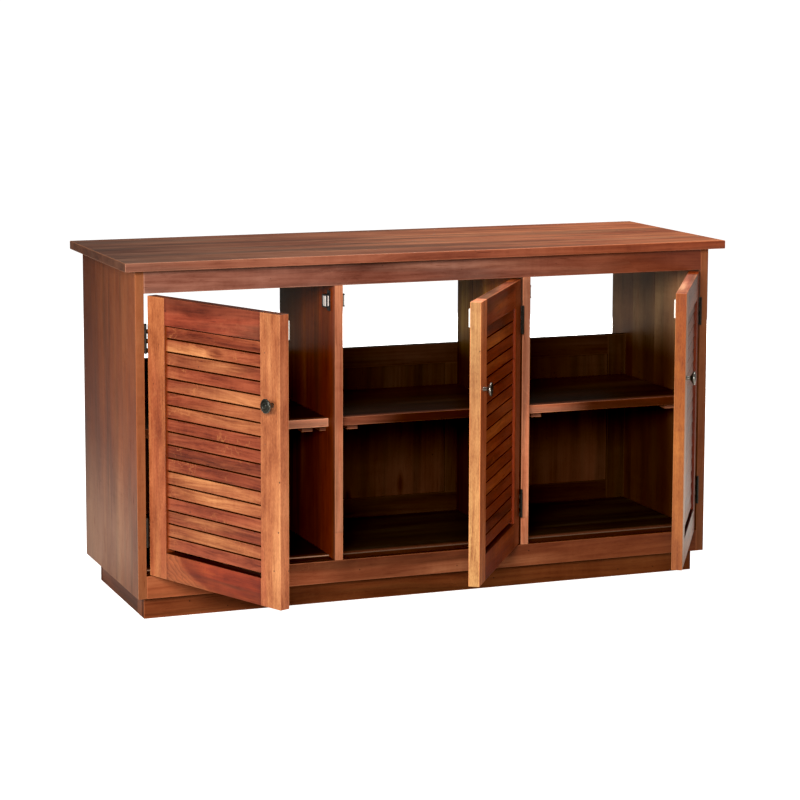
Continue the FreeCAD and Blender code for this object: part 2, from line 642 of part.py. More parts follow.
for side, (pin_x, angle, way, mirrored) in doors.items():
    hinge = (pin_x, angle, way)
    name = side + "_door_"
    sign = -1 if mirrored else 1

    def member(label, x, z, width, height):
        body = board(name + label, (span_x(x, width, mirrored), front, z),
                     (width, P["door_thick"], height), P["door_ease"], hinge)
        bevel(body, mirrored)
        return keep(body)

    hinge_stile = member("hinge_stile", pin_side, P["door_low"], P["stile_wide"], P["door_tall"])
    drill(hinge_stile, "YZ_Plane", [(P["hinge_screw_out"], z) for z in hinge_rows],
          P["pilot_rad"], P["pilot_long"], (0, 0, pin_side * sign))

    latch_stile = member("latch_stile", light_far, P["door_low"], P["latch_wide"], P["door_tall"])
    knob_x = free_edge - P["knob_inset"]
    strike_x = free_edge - P["strike_edge"] - P["strike_wide"]
    strike_mid = strike_x + P["strike_wide"] / 2
    # sketches on this plane run along X and Z, and their offset counts towards -Y
    strike_rows = [P["catch_mid"] - P["strike_screw_step"], P["catch_mid"] + P["strike_screw_step"]]
    drill(latch_stile, "XZ_Plane", [(ZERO, P["knob_height"])], P["knob_screw_rad"] + P["knob_bore_play"] * 2,
          P["door_thick"], (knob_x * sign, 0, -rear))
    drill(latch_stile, "XZ_Plane", [(ZERO, z) for z in strike_rows], P["pilot_rad"],
          P["pilot_long"], (strike_mid * sign, 0, -rear))

    member("top_rail", light_near, light_top, light_wide, P["door_rail_top"])
    member("bottom_rail", light_near, P["door_low"], light_wide, P["door_rail_low"])

    # slats: a low slat under the top rail, then full slats at an even pitch. Each leans back a little, stands on
    # its front edge over the next, and its top slopes up to the back, so the joint is a groove that closes behind
    slats = new_body(name + "louvre_slats", hinge=hinge)
    nose = P["slat_nose"]
    thick = P["slat_thick"]
    lean = P["slat_lean"]

    def slat_outline(face, rise):
        return [(nose, 0), (thick, 0), (thick, face + rise), (lean + nose, face), (lean, face - nose), (0, nose)]

    slat_y = front + P["slat_recess"]
    first_z = light_top - P["slat_drop"]
    slat_x = span_x(light_near, light_wide, mirrored)
    full = pad(slats, polygon(slats, "YZ_Plane", slat_outline(P["slat_face"], P["slat_rise"]),
                              (slat_y, first_z - P["slat_pitch"], slat_x)), light_wide)
    rows = slats.newObject("PartDesign::LinearPattern", name + "slat_rows")
    rows.Originals = [full]
    rows.Direction = (origin_feature(slats, "Z_Axis"), [""])
    rows.Reversed = True
    rows.setExpression("Occurrences", P["slat_rows"].expr)
    rows.setExpression("Length", "Sheet.slat_pitch * (Sheet.slat_rows - 1)")
    slats.Tip = rows
    doc.recompute()
    pad(slats, polygon(slats, "YZ_Plane", slat_outline(P["slat_first"], P["slat_first_rise"]),
                       (slat_y, first_z, slat_x)), light_wide)
    if len(slats.Shape.Solids) != int(P["slat_rows"].val) + 1:
        raise RuntimeError("%s: %d slats" % (name, len(slats.Shape.Solids)))
    keep(slats)

    copies(name + "hinge_leaves", [(door_leaf, mirrored, at(0, 0, z)) for z in hinge_levels], hinge)

    # knob: turned, its face out to the front, its foot on the stile
    knob = new_body(name + "knob", hinge=hinge)
    r, out = P["knob_rad"], P["knob_out"]
    bore = P["knob_screw_rad"] + P["knob_bore_play"]
    bore_end = out - P["knob_bore_long"]
    neck, foot = P["knob_neck"], P["knob_foot"]
    profile = [(0, 0), (r * 0.16, 0.1), (r * 0.30, 0.5), (r * 0.36, 1.1), (r * 0.42, 1.2), (r * 0.48, 0.8),
               (r * 0.62, 1.1), (r * 0.76, 1.7), (r * 0.83, 2.3), (r * 0.88, 2.2), (r * 0.95, 2.5), (r * 0.99, 3.2),
               (r, 4.2), (r * 0.985, 5.2), (r * 0.94, 6.3), (r * 0.84, 7.8), (r * 0.70, 9.4), (r * 0.54, 10.9),
               (r * 0.40, 12.3), (neck * 1.12, 13.6), (neck, 14.6), (neck, out - 2.2), (neck * 1.05, out - 1.2),
               (foot, out - 0.8), (foot, out), (bore, out), (bore, bore_end), (0, bore_end)]
    revolve(knob, polygon(knob, "XY_Plane", profile, (knob_x * sign, front - out, P["knob_height"])), "V_Axis")
    keep(knob)

    strike = new_body(name + "strike_plate", hinge=hinge)
    tall, slope = P["strike_tall"], P["strike_slope"]
    pad(strike, polygon(strike, "YZ_Plane", [(0, 0), (P["strike_thick"], slope), (P["strike_thick"], tall - slope), (0, tall)],
                        (rear, P["catch_mid"] - tall / 2, span_x(strike_x, P["strike_wide"], mirrored))), P["strike_wide"])
    for z in strike_rows:
        cone = strike.newObject("PartDesign::SubtractiveCone", name + "strike_sink")
        cone.setExpression("Radius1", P["sink_rad"].expr)
        cone.setExpression("Radius2", P["sink_foot"].expr)
        cone.setExpression("Height", P["strike_thick"].expr)
        cone.setExpression("Placement", "placement(vector(%s; %s; %s); rotation(vector(1; 0; 0); 90))"
                           % ((strike_mid * sign).expr, (rear + P["strike_thick"]).expr, z.expr))
        doc.recompute()
    keep(strike)

    # screws that turn with the door: hinge leaves, strike plate and knob
    machine = new_body(name + "knob_screw_master")
    shank_end = P["door_thick"] + P["knob_screw_in"]
    cap = P["knob_screw_cap"]
    revolve(machine, polygon(machine, "XY_Plane",
                             [(0, 0), (cap + shank_end, 0), (cap + shank_end, P["knob_screw_rad"]),
                              (cap, P["knob_screw_rad"]), (cap, P["knob_screw_head"]),
                              (cap * 0.4, P["knob_screw_head"]), (0, P["knob_screw_head"] * 0.7)]), "H_Axis")
    door_screws = []
    head_x = pin_side - P["leaf_thick"]
    for z in hinge_rows:
        door_screws.append((long_screw, False, at(head_x * sign, P["hinge_screw_out"], z, BACK if mirrored else None)))
    for z in strike_rows:
        door_screws.append((long_screw, False, at(strike_mid * sign, rear + P["strike_thick"], z, INTO)))
    door_screws.append((machine, False, at(knob_x * sign, rear + cap, P["knob_height"], INTO)))
    copies(name + "screws", door_screws, hinge)

doc.recompute()

# ---- checks and files ------------------------------------------------------

for obj in doc.Objects:
    if "Invalid" in obj.State or "Error" in obj.State:
        raise RuntimeError("%s: %s" % (obj.Label, obj.State))
labels = [node.Label for node in nodes]
if len(set(labels)) != len(labels) or len(labels) > 60:
    raise RuntimeError("node names: %d, %d of them different" % (len(labels), len(set(labels))))
for node in nodes:
    shape = node.Shape
    if shape.isNull() or not shape.isValid() or not shape.Solids:
        raise RuntimeError("%s: bad shape" % node.Label)

os.makedirs("parts", exist_ok=True)
for node in nodes:
    node.Shape.exportStep("parts/%s.step" % node.Label)
print("%d nodes" % len(nodes))
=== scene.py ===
import json
import math

import bpy
import numpy as np
from mathutils import Matrix, Vector

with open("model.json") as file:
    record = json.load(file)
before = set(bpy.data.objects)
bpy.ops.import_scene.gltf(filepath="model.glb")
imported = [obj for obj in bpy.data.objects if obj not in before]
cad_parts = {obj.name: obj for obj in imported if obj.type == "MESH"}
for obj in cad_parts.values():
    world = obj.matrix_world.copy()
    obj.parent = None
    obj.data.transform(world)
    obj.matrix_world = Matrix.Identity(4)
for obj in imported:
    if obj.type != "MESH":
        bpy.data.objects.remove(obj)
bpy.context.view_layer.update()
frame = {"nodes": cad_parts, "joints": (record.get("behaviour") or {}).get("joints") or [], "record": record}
nodes = frame["nodes"]
scene = bpy.context.scene


# ---------------------------------------------------------------- node graphs

class Graph:
    """Short calls for building a node tree."""

    def __init__(self, tree):
        self.tree = tree

    def add(self, kind, **values):
        n = self.tree.nodes.new(kind)
        for k, v in values.items():
            setattr(n, k, v)
        return n

    def put(self, socket, value):
        if isinstance(value, bpy.types.NodeSocket):
            self.tree.links.new(value, socket)
        elif value is not None:
            socket.default_value = value

    def math(self, op, a, b=None, c=None, clamp=False):
        n = self.add("ShaderNodeMath", operation=op, use_clamp=clamp)
        for s, v in zip(n.inputs, (a, b, c)):
            self.put(s, v)
        return n.outputs[0]

    def vmath(self, op, a, b=None):
        n = self.add("ShaderNodeVectorMath", operation=op)
        self.put(n.inputs[0], a)
        if op == "SCALE":
            self.put(n.inputs["Scale"], b)
        else:
            self.put(n.inputs[1], b)
        return n.outputs["Value" if op in ("LENGTH", "DOT_PRODUCT") else "Vector"]

    def split(self, vector):
        n = self.add("ShaderNodeSeparateXYZ")
        self.put(n.inputs[0], vector)
        return n.outputs

    def join(self, x, y, z):
        n = self.add("ShaderNodeCombineXYZ")
        for s, v in zip(n.inputs, (x, y, z)):
            self.put(s, v)
        return n.outputs[0]

    def noise(self, vector, detail=2.0, rough=0.5, scale=1.0, out="Fac"):
        n = self.add("ShaderNodeTexNoise")
        self.put(n.inputs["Vector"], vector)
        n.inputs["Scale"].default_value = scale
        n.inputs["Detail"].default_value = detail
        n.inputs["Roughness"].default_value = rough
        return n.outputs[out]

    def white(self, w, out="Color"):
        n = self.add("ShaderNodeTexWhiteNoise", noise_dimensions="1D")
        self.put(n.inputs["W"], w)
        return n.outputs[out]

    def cells(self, vector, scale=1.0, feature="F1", dims="3D"):
        n = self.add("ShaderNodeTexVoronoi", feature=feature, voronoi_dimensions=dims)
        self.put(n.inputs["Vector"], vector)
        n.inputs["Scale"].default_value = scale
        return n.outputs

    def ranged(self, value, a, b, c=0.0, d=1.0, smooth=False):
        n = self.add("ShaderNodeMapRange", interpolation_type="SMOOTHSTEP" if smooth else "LINEAR")
        self.put(n.inputs["Value"], value)
        for k, v in (("From Min", a), ("From Max", b), ("To Min", c), ("To Max", d)):
            self.put(n.inputs[k], v)
        return n.outputs["Result"]

    def mix(self, fac, a, b, blend="MIX"):
        n = self.add("ShaderNodeMix", data_type="RGBA", blend_type=blend, clamp_factor=True)
        self.put(n.inputs[0], fac)
        for s, v in ((n.inputs[6], a), (n.inputs[7], b)):
            self.put(s, (*v, 1.0) if isinstance(v, tuple) and len(v) == 3 else v)
        return n.outputs[2]

    def ramp(self, fac, stops, interpolation="LINEAR"):
        n = self.add("ShaderNodeValToRGB")
        self.put(n.inputs[0], fac)
        r = n.color_ramp
        r.interpolation = interpolation
        while len(r.elements) < len(stops):
            r.elements.new(0.5)
        for e, (p, c) in zip(r.elements, stops):
            e.position = p
            e.color = (*c, 1.0)
        return n.outputs[0]


# ------------------------------------------------------- the figure of the wood

def make_figure():
    """Growth rings, streaks, ripple, sapwood, pores and knots of one board. The grain runs along X, in metres."""
    tree = bpy.data.node_groups.new("wood_figure", "ShaderNodeTree")
    face = tree.interface
    face.new_socket(name="Vector", in_out="INPUT", socket_type="NodeSocketVector")
    face.new_socket(name="Seed", in_out="INPUT", socket_type="NodeSocketFloat")
    for name in ("Broad", "Streak", "Fibre", "Ring", "Flame", "Sap", "Dun", "Pore", "Knot", "Halo", "Vein", "Line", "Mottle", "Patch", "Speck"):
        face.new_socket(name=name, in_out="OUTPUT", socket_type="NodeSocketFloat")
    g = Graph(tree)
    inp, out = g.add("NodeGroupInput"), g.add("NodeGroupOutput")
    vec, seed = inp.outputs["Vector"], inp.outputs["Seed"]

    luck = g.white(seed)
    shift = g.vmath("MULTIPLY", luck, (17.0, 13.0, 11.0))

    def field(at, x, y, z):
        return g.vmath("ADD", g.vmath("MULTIPLY", at, (x, y, z)), shift)

    # the grain wanders a little along the board
    wander = g.noise(field(vec, 1.6, 4.0, 4.0), 1.5, 0.5, out="Color")
    wander = g.vmath("MULTIPLY", g.vmath("SUBTRACT", wander, (0.5, 0.5, 0.5)), (0.0, 0.050, 0.050))

    # knots: a few cells hold one, and the grain runs round it
    c = g.cells(field(vec, 2.4, 10.0, 10.0))
    held = g.math("GREATER_THAN", g.split(c["Color"])[0], 0.80)
    near = g.math("MULTIPLY", g.ranged(c["Distance"], 0.0, 0.55, 1.0, 0.0, smooth=True), held)
    knot = g.math("MULTIPLY", g.ranged(c["Distance"], 0.05, 0.13, 1.0, 0.0, smooth=True), held)
    way = g.vmath("ADD", vec, wander)
    way = g.vmath("ADD", way, g.join(0.0, g.math("MULTIPLY", near, 0.010), g.math("MULTIPLY", near, 0.010)))

    # growth rings about a heart that lies outside the board
    l = g.split(luck)
    heart = g.join(0.0, g.math("MULTIPLY_ADD", l[0], 0.12, -0.06), g.math("MULTIPLY_ADD", l[1], -0.06, -0.030))
    depth = g.vmath("LENGTH", g.vmath("MULTIPLY", g.vmath("SUBTRACT", way, heart), (0.0, 1.0, 1.0)))
    uneven = g.noise(g.join(g.math("MULTIPLY", depth, 45.0), l[2], 0.0), 1.0, 0.5)
    ragged = g.noise(field(way, 5.0, 90.0, 90.0), 3.0, 0.6)
    rings = g.math("ADD", g.math("MULTIPLY", depth, 85.0), g.math("MULTIPLY", uneven, 2.2))
    rings = g.math("ADD", rings, g.math("MULTIPLY", ragged, 0.9))
    saw = g.math("FRACT", rings)
    ring = g.math("MULTIPLY", g.math("POWER", saw, 2.0), g.ranged(saw, 0.80, 1.0, 1.0, 0.0, smooth=True))
    ring = g.math("MULTIPLY", ring, g.ranged(g.noise(field(vec, 2.2, 9.0, 9.0), 1.0, 0.5), 0.38, 0.62, 0.15, 1.0, smooth=True))

    broad = g.noise(field(way, 0.9, 21.0, 21.0), 2.0, 0.5)
    streak = g.noise(field(way, 2.4, 95.0, 95.0), 3.0, 0.55)
    fibre = g.noise(field(way, 10.0, 520.0, 520.0), 2.5, 0.6)
    line = g.noise(field(g.vmath("ADD", way, (2.1, 1.1, 0.3)), 7.0, 235.0, 235.0), 2.0, 0.6)
    ripple = g.noise(field(way, 62.0, 9.0, 9.0), 2.0, 0.55)
    flame = g.math("MULTIPLY", g.math("SUBTRACT", ripple, 0.5),
                   g.ranged(g.noise(field(vec, 5.0, 7.0, 7.0), 1.5, 0.5), 0.46, 0.66, 0.0, 1.0, smooth=True))
    sap = g.noise(field(way, 1.1, 11.0, 11.0), 2.0, 0.55)
    dun = g.noise(field(g.vmath("ADD", way, (3.1, 0.7, 0.9)), 1.5, 21.0, 21.0), 2.5, 0.55)
    dash = g.noise(field(way, 40.0, 950.0, 950.0), 2.0, 0.5)
    fleck = g.noise(field(g.vmath("ADD", way, (0.9, 1.7, 2.3)), 15.0, 270.0, 270.0), 1.0, 0.5)
    pore = g.math("MAXIMUM", g.ranged(dash, 0.61, 0.72, 0.0, 0.75, smooth=True), g.ranged(fleck, 0.69, 0.76, 0.0, 1.0, smooth=True))
    mottle = g.noise(field(vec, 3.2, 9.0, 9.0), 3.0, 0.58)
    patch = g.noise(field(vec, 15.0, 42.0, 42.0), 2.5, 0.6)
    speck = g.noise(field(vec, 150.0, 420.0, 420.0), 2.0, 0.6)
    # fine pale veins, in few places, where the grain curls
    curl = g.noise(field(g.vmath("ADD", vec, (1.3, 0.4, 2.2)), 30.0, 44.0, 44.0), 2.0, 0.55)
    rare = g.ranged(g.noise(field(g.vmath("ADD", vec, (5.3, 2.4, 1.2)), 7.0, 16.0, 16.0), 1.0, 0.5), 0.55, 0.66, 0.0, 1.0, smooth=True)
    vein = g.math("MULTIPLY", g.ranged(g.math("ABSOLUTE", g.math("SUBTRACT", curl, 0.5)), 0.0, 0.028, 1.0, 0.0, smooth=True), rare)
    for name, value in (("Broad", broad), ("Streak", streak), ("Fibre", fibre), ("Ring", ring), ("Flame", flame),
                        ("Sap", sap), ("Dun", dun), ("Pore", pore), ("Knot", knot), ("Halo", near), ("Vein", vein), ("Line", line), ("Mottle", mottle), ("Patch", patch), ("Speck", speck)):
        g.put(out.inputs[name], value)
    return tree


FIGURE = make_figure()


# ------------------------------------------------------------------- the doors

def closed_matrix(body):
    """Carries a point of a door from where it stands open to where it is when closed."""
    for j in frame["joints"]:
        if j["child"] == body:
            pin = Matrix.Translation(Vector(j["pos_m"]))
            turn = Matrix.Rotation(math.radians(j["range_deg"][0]), 4, Vector(j["axis"]))
            return pin @ turn @ pin.inverted()
    return Matrix.Identity(4)


BODY = {n: body for body, members in frame["record"]["behaviour"]["bodies"].items() for n in members}
GRAIN = {"x": Matrix(((1, 0, 0), (0, 1, 0), (0, 0, 1))),
         "y": Matrix(((0, 1, 0), (1, 0, 0), (0, 0, 1))),
         "z": Matrix(((0, 0, 1), (1, 0, 0), (0, 1, 0)))}


def points(node):
    co = np.empty(len(nodes[node].data.vertices) * 3)
    nodes[node].data.vertices.foreach_get("co", co)
    return co.reshape(-1, 3)


def board_frame(node, grain):
    """Turn and shift that take a node's coordinates to its board's own: X along the grain, centred. Also its half sizes."""
    turn = GRAIN[grain].to_4x4() @ closed_matrix(BODY[node])
    m = np.array(turn)
    p = points(node) @ m[:3, :3].T + m[:3, 3]
    lo, hi = p.min(0), p.max(0)
    shift = Matrix.Translation(Vector(-(lo + hi) / 2)) @ turn
    return shift, (hi - lo) / 2


# ------------------------------------------------------------------- materials

def shade(colour, k):
    return tuple(c * k for c in colour)


def principled(name):
    m = bpy.data.materials.new(name)
    m.use_nodes = True
    m.node_tree.nodes.clear()
    g = Graph(m.node_tree)
    out = g.add("ShaderNodeOutputMaterial")
    p = g.add("ShaderNodeBsdfPrincipled")
    g.put(out.inputs["Surface"], p.outputs[0])
    return m, g, p


def wood(node, grain="x", seed=0.0, red=(0.30, 0.085, 0.042), brown=(0.19, 0.068, 0.038), pale=(0.46, 0.17, 0.08),
         sap=-0.06, dun=0.0, broad=0.50, streak=0.42, fibre=0.20, ring=0.30, flame=0.55, planks=None, spread=0.16,
         slats=None, dots=0.55, dot_cell=0.085, front=None, fade=None, span=(-0.75, 0.75), inside=(), end=0.5, rough=0.40, wear_and_highlight=0.6, gloss=0.42,
         mottle=0.4, patch=0.2, speck=0.12, veins=0.15, soft=0.0, line=0.24):
    """A satin-lacquered board, with its own figure, from the coordinates of its node."""
    m, g, p = principled("wood_" + node)
    matrix, half = board_frame(node, grain)
    tc = g.add("ShaderNodeTexCoord")
    mapping = g.add("ShaderNodeMapping", vector_type="POINT")
    g.put(mapping.inputs["Vector"], tc.outputs["Object"])
    mapping.inputs["Location"].default_value = matrix.to_translation()
    mapping.inputs["Rotation"].default_value = matrix.to_3x3().to_euler("XYZ")
    x, y, z = g.split(mapping.outputs[0])
    turned = g.add("ShaderNodeMapping", vector_type="VECTOR")
    g.put(turned.inputs["Vector"], tc.outputs["Normal"])
    turned.inputs["Rotation"].default_value = matrix.to_3x3().to_euler("XYZ")
    facing = g.split(turned.outputs[0])
    nx, ny, nz = (g.math("ABSOLUTE", s) for s in facing)

    board_seed, luck, seam = seed, None, None
    hx, hy, hz = half
    wide, deep = y, z
    if planks:
        across = {"y": y, "z": z}[planks["across"]]
        whole = {"y": hy, "z": hz}[planks["across"]]
        count = planks["count"]
        u = g.math("MULTIPLY_ADD", across, count / (2 * whole), count / 2 + 0.5)
        index = g.math("FLOOR", g.math("SUBTRACT", u, 0.5))
        middle = g.math("MULTIPLY_ADD", g.math("ADD", index, 0.5 - count / 2), 2 * whole / count, 0.0)
        own = g.math("SUBTRACT", across, middle)
        edge = g.math("SUBTRACT", whole / count, g.math("ABSOLUTE", own))
        seam = g.ranged(edge, 0.00015, 0.0007, 1.0, 0.0, smooth=True)
        if planks["across"] == "y":
            y = own
        else:
            z = own
    elif slats:
        above = g.math("ADD", z, float(hz))
        index = g.math("FLOOR", g.math("DIVIDE", above, slats["pitch"]))
        above = g.math("MULTIPLY_ADD", index, -slats["pitch"], above)
        z = g.math("SUBTRACT", above, slats["face"] / 2)
        deep, hz = z, slats["face"] / 2
    if planks or slats:
        board_seed = g.math("MULTIPLY_ADD", index, 0.731, seed)
        luck = g.split(g.vmath("SUBTRACT", g.white(g.math("MULTIPLY_ADD", index, 1.37, seed + 4.1)), (0.5, 0.5, 0.5)))
    local = g.join(g.math("MULTIPLY", x, 1.5) if slats else x, y, z)

    fig = g.add("ShaderNodeGroup", node_tree=FIGURE)
    g.put(fig.inputs["Vector"], local)
    g.put(fig.inputs["Seed"], board_seed)
    f = fig.outputs

    # heartwood, with browner streaks and paler sapwood
    more_dun, more_sap = g.math("ADD", f["Dun"], dun), g.math("ADD", f["Sap"], sap)
    if luck:
        more_dun = g.math("MULTIPLY_ADD", luck[0], spread, more_dun)
        more_sap = g.math("MULTIPLY_ADD", luck[1], spread, more_sap)
    colour = g.mix(g.ranged(more_dun, 0.47, 0.66, 0.0, 1.0, smooth=True), red, brown)
    colour = g.mix(g.ranged(more_sap, 0.47 - soft, 0.63 + soft, 0.0, 1.0, smooth=True), colour, pale)

    # light and dark along the grain; the dark of it is also the redder
    t = g.math("MULTIPLY_ADD", g.math("SUBTRACT", f["Broad"], 0.5), 2 * broad, 1.0)
    t = g.math("MULTIPLY_ADD", g.math("SUBTRACT", f["Streak"], 0.5), 2 * streak, t)
    t = g.math("MULTIPLY_ADD", g.math("SUBTRACT", f["Fibre"], 0.5), 2 * fibre, t)
    t = g.math("MULTIPLY_ADD", g.math("SUBTRACT", f["Line"], 0.5), 2 * line, t)
    t = g.math("MULTIPLY_ADD", g.math("SUBTRACT", f["Mottle"], 0.5), 2 * mottle, t)
    t = g.math("MULTIPLY_ADD", g.math("SUBTRACT", f["Patch"], 0.5), 2 * patch, t)
    t = g.math("MULTIPLY_ADD", g.math("SUBTRACT", f["Speck"], 0.5), 2 * speck, t)
    t = g.math("MULTIPLY_ADD", f["Ring"], -ring, t)
    t = g.math("MULTIPLY_ADD", f["Flame"], flame, t)
    t = g.math("MULTIPLY_ADD", f["Halo"], 0.22, t)
    t = g.math("MULTIPLY_ADD", f["Knot"], -0.75, t)
    t = g.math("MULTIPLY_ADD", f["Pore"], -0.38, t)
    if luck:
        t = g.math("MULTIPLY_ADD", luck[2], spread * 1.6, t)
    t = g.math("MAXIMUM", t, 0.16)
    tint = g.join(g.math("POWER", t, 0.82), g.math("POWER", t, 1.20), g.math("POWER", t, 1.36))
    colour = g.mix(1.0, colour, tint, "MULTIPLY")
    colour = g.mix(g.math("MULTIPLY", f["Vein"], veins), colour, shade(pale, 1.15))

    # end grain drinks more stain
    ends = g.ranged(nx, 0.72, 0.9, 0.0, 1.0 - end, smooth=True)
    colour = g.mix(ends, colour, shade(brown, 0.5))

    # arrises painted paler, unevenly: partly rubbed wear, partly painted highlight
    a = g.math("SUBTRACT", float(hx), g.math("ABSOLUTE", x))
    b = g.math("SUBTRACT", float(hy), g.math("ABSOLUTE", wide))
    c = g.math("SUBTRACT", float(hz), g.math("ABSOLUTE", deep))
    arris = g.math("MAXIMUM", g.math("MINIMUM", a, b), g.math("MINIMUM", g.math("MAXIMUM", a, b), c))
    wobble = g.noise(g.vmath("MULTIPLY", local, (26.0, 70.0, 70.0)), 2.0, 0.6)
    rub_and_highlight = g.ranged(g.math("MULTIPLY_ADD", wobble, -0.0026, arris), -0.0003, 0.0010, wear_and_highlight, 0.0, smooth=True)
    colour = g.mix(rub_and_highlight, colour, shade(pale, 1.25))

    # small dark holes, as old nails and beetles leave them
    plane = g.math("GREATER_THAN", nz, 0.6)
    flat = g.add("ShaderNodeMix", data_type="VECTOR")
    g.put(flat.inputs[0], plane)
    g.put(flat.inputs[4], g.join(x, z, 0.0))
    g.put(flat.inputs[5], g.join(x, y, 0.0))
    away = g.math("MULTIPLY", board_seed, 1.9) if luck else board_seed * 1.9
    place = g.vmath("ADD", flat.outputs[1], g.join(board_seed, away, 0.0))
    spots = g.cells(g.vmath("SCALE", place, 1.0 / dot_cell), dims="2D")
    pick = g.split(spots["Color"])
    size = g.math("MULTIPLY_ADD", pick[1], 0.017, 0.007)
    hole = g.math("MULTIPLY", g.ranged(g.math("SUBTRACT", spots["Distance"], size), -0.004, 0.004, 1.0, 0.0, smooth=True),
                  g.math("GREATER_THAN", pick[0], 1.0 - dots))
    colour = g.mix(g.math("MULTIPLY", hole, 0.85), colour, (0.012, 0.004, 0.002))
    if seam is not None:
        colour = g.mix(g.math("MULTIPLY", seam, 0.25), colour, shade(brown, 0.3))
    if slats:
        # painted shade: the grooves between the slats are painted near black; the slat ends are darker where they run
        # into the stiles
        foot = g.math("LESS_THAN", facing[2], -0.6)
        head = g.math("GREATER_THAN", facing[2], 0.6)
        groove = g.math("MAXIMUM", foot, head)
        colour = g.mix(g.math("MULTIPLY", groove, 0.95), colour, (0.022, 0.0045, 0.0012))
        reach = g.math("MULTIPLY_ADD", wobble, 0.012, 0.002)
        colour = g.mix(g.ranged(a, 0.0, reach, 0.85, 0.0, smooth=True), colour, g.vmath("MULTIPLY", colour, (0.62, 0.36, 0.28)))
    # painted light: boards painted lighter or darker from end to end as the light falls across the cabinet, and their
    # front edges, which face the lights, painted lighter than their faces
    faces = g.math("LESS_THAN", g.split(tc.outputs["Normal"])[1], -0.7)
    along = g.ranged(g.split(tc.outputs["Object"])[0], *span, 0.0, 1.0)
    shown = colour
    if fade:
        colour = g.mix(along, g.vmath("MULTIPLY", shown, fade[0]), g.vmath("MULTIPLY", shown, fade[1]))
    if front:
        lit = g.mix(along, g.vmath("MULTIPLY", shown, front[0]), g.vmath("MULTIPLY", shown, front[1]))
        colour = g.mix(faces, colour, lit)
    at = dict(o=g.split(tc.outputs["Object"]), n=g.split(tc.outputs["Normal"]), x=x, y=wide, z=deep, facing=facing,
              half=(float(hx), float(hy), float(hz)), pale=pale, wobble=wobble)
    for paint in inside:
        colour = paint(g, at, colour)
    g.put(p.inputs["Base Color"], colour)

    r = g.math("MULTIPLY_ADD", g.math("SUBTRACT", f["Fibre"], 0.5), 0.16, rough)
    r = g.math("MULTIPLY_ADD", f["Pore"], 0.12, r)
    r = g.math("MULTIPLY_ADD", g.math("SUBTRACT", f["Sap"], 0.5), 0.14, r)
    g.put(p.inputs["Roughness"], g.math("MULTIPLY_ADD", ends, 0.3, r, clamp=True))
    h = g.math("MULTIPLY_ADD", f["Pore"], -0.7, g.math("MULTIPLY", f["Fibre"], 0.35))
    h = g.math("MULTIPLY_ADD", f["Ring"], -0.15, h)
    h = g.math("MULTIPLY_ADD", hole, -3.0, h)
    if seam is not None:
        h = g.math("MULTIPLY_ADD", seam, -0.8, h)
    bump = g.add("ShaderNodeBump")
    bump.inputs["Strength"].default_value = 0.35
    bump.inputs["Distance"].default_value = 0.00035
    g.put(bump.inputs["Height"], h)
    g.put(p.inputs["Normal"], bump.outputs[0])
    if slats:
        g.put(p.inputs["Specular IOR Level"], g.math("MULTIPLY_ADD", groove, -gloss, gloss))
    else:
        p.inputs["Specular IOR Level"].default_value = gloss
    return m


def metal(name, colour, metallic, rough, speckle=0.25, scale=900.0, coat=0.0, grime=None):
    m, g, p = principled(name)
    tc = g.add("ShaderNodeTexCoord")
    grain = g.noise(g.vmath("SCALE", tc.outputs["Object"], scale), 3.0, 0.6)
    cloud = g.noise(g.vmath("SCALE", tc.outputs["Object"], scale * 0.12), 2.0, 0.5)
    k = g.math("ADD", g.math("MULTIPLY", g.math("SUBTRACT", grain, 0.5), speckle), g.math("MULTIPLY", g.math("SUBTRACT", cloud, 0.5), speckle * 1.4))
    t = g.math("ADD", k, 0.5, clamp=True)
    g.put(p.inputs["Base Color"], g.ramp(t, [(0.2, shade(colour, 0.55)), (0.5, colour), (0.8, grime or shade(colour, 1.5))]))
    p.inputs["Metallic"].default_value = metallic
    g.put(p.inputs["Roughness"], g.math("MULTIPLY_ADD", k, 0.35, rough, clamp=True))
    p.inputs["Coat Weight"].default_value = coat
    bump = g.add("ShaderNodeBump")
    bump.inputs["Strength"].default_value = 0.12
    bump.inputs["Distance"].default_value = 0.0002
    g.put(bump.inputs["Height"], grain)
    g.put(p.inputs["Normal"], bump.outputs[0])
    return m


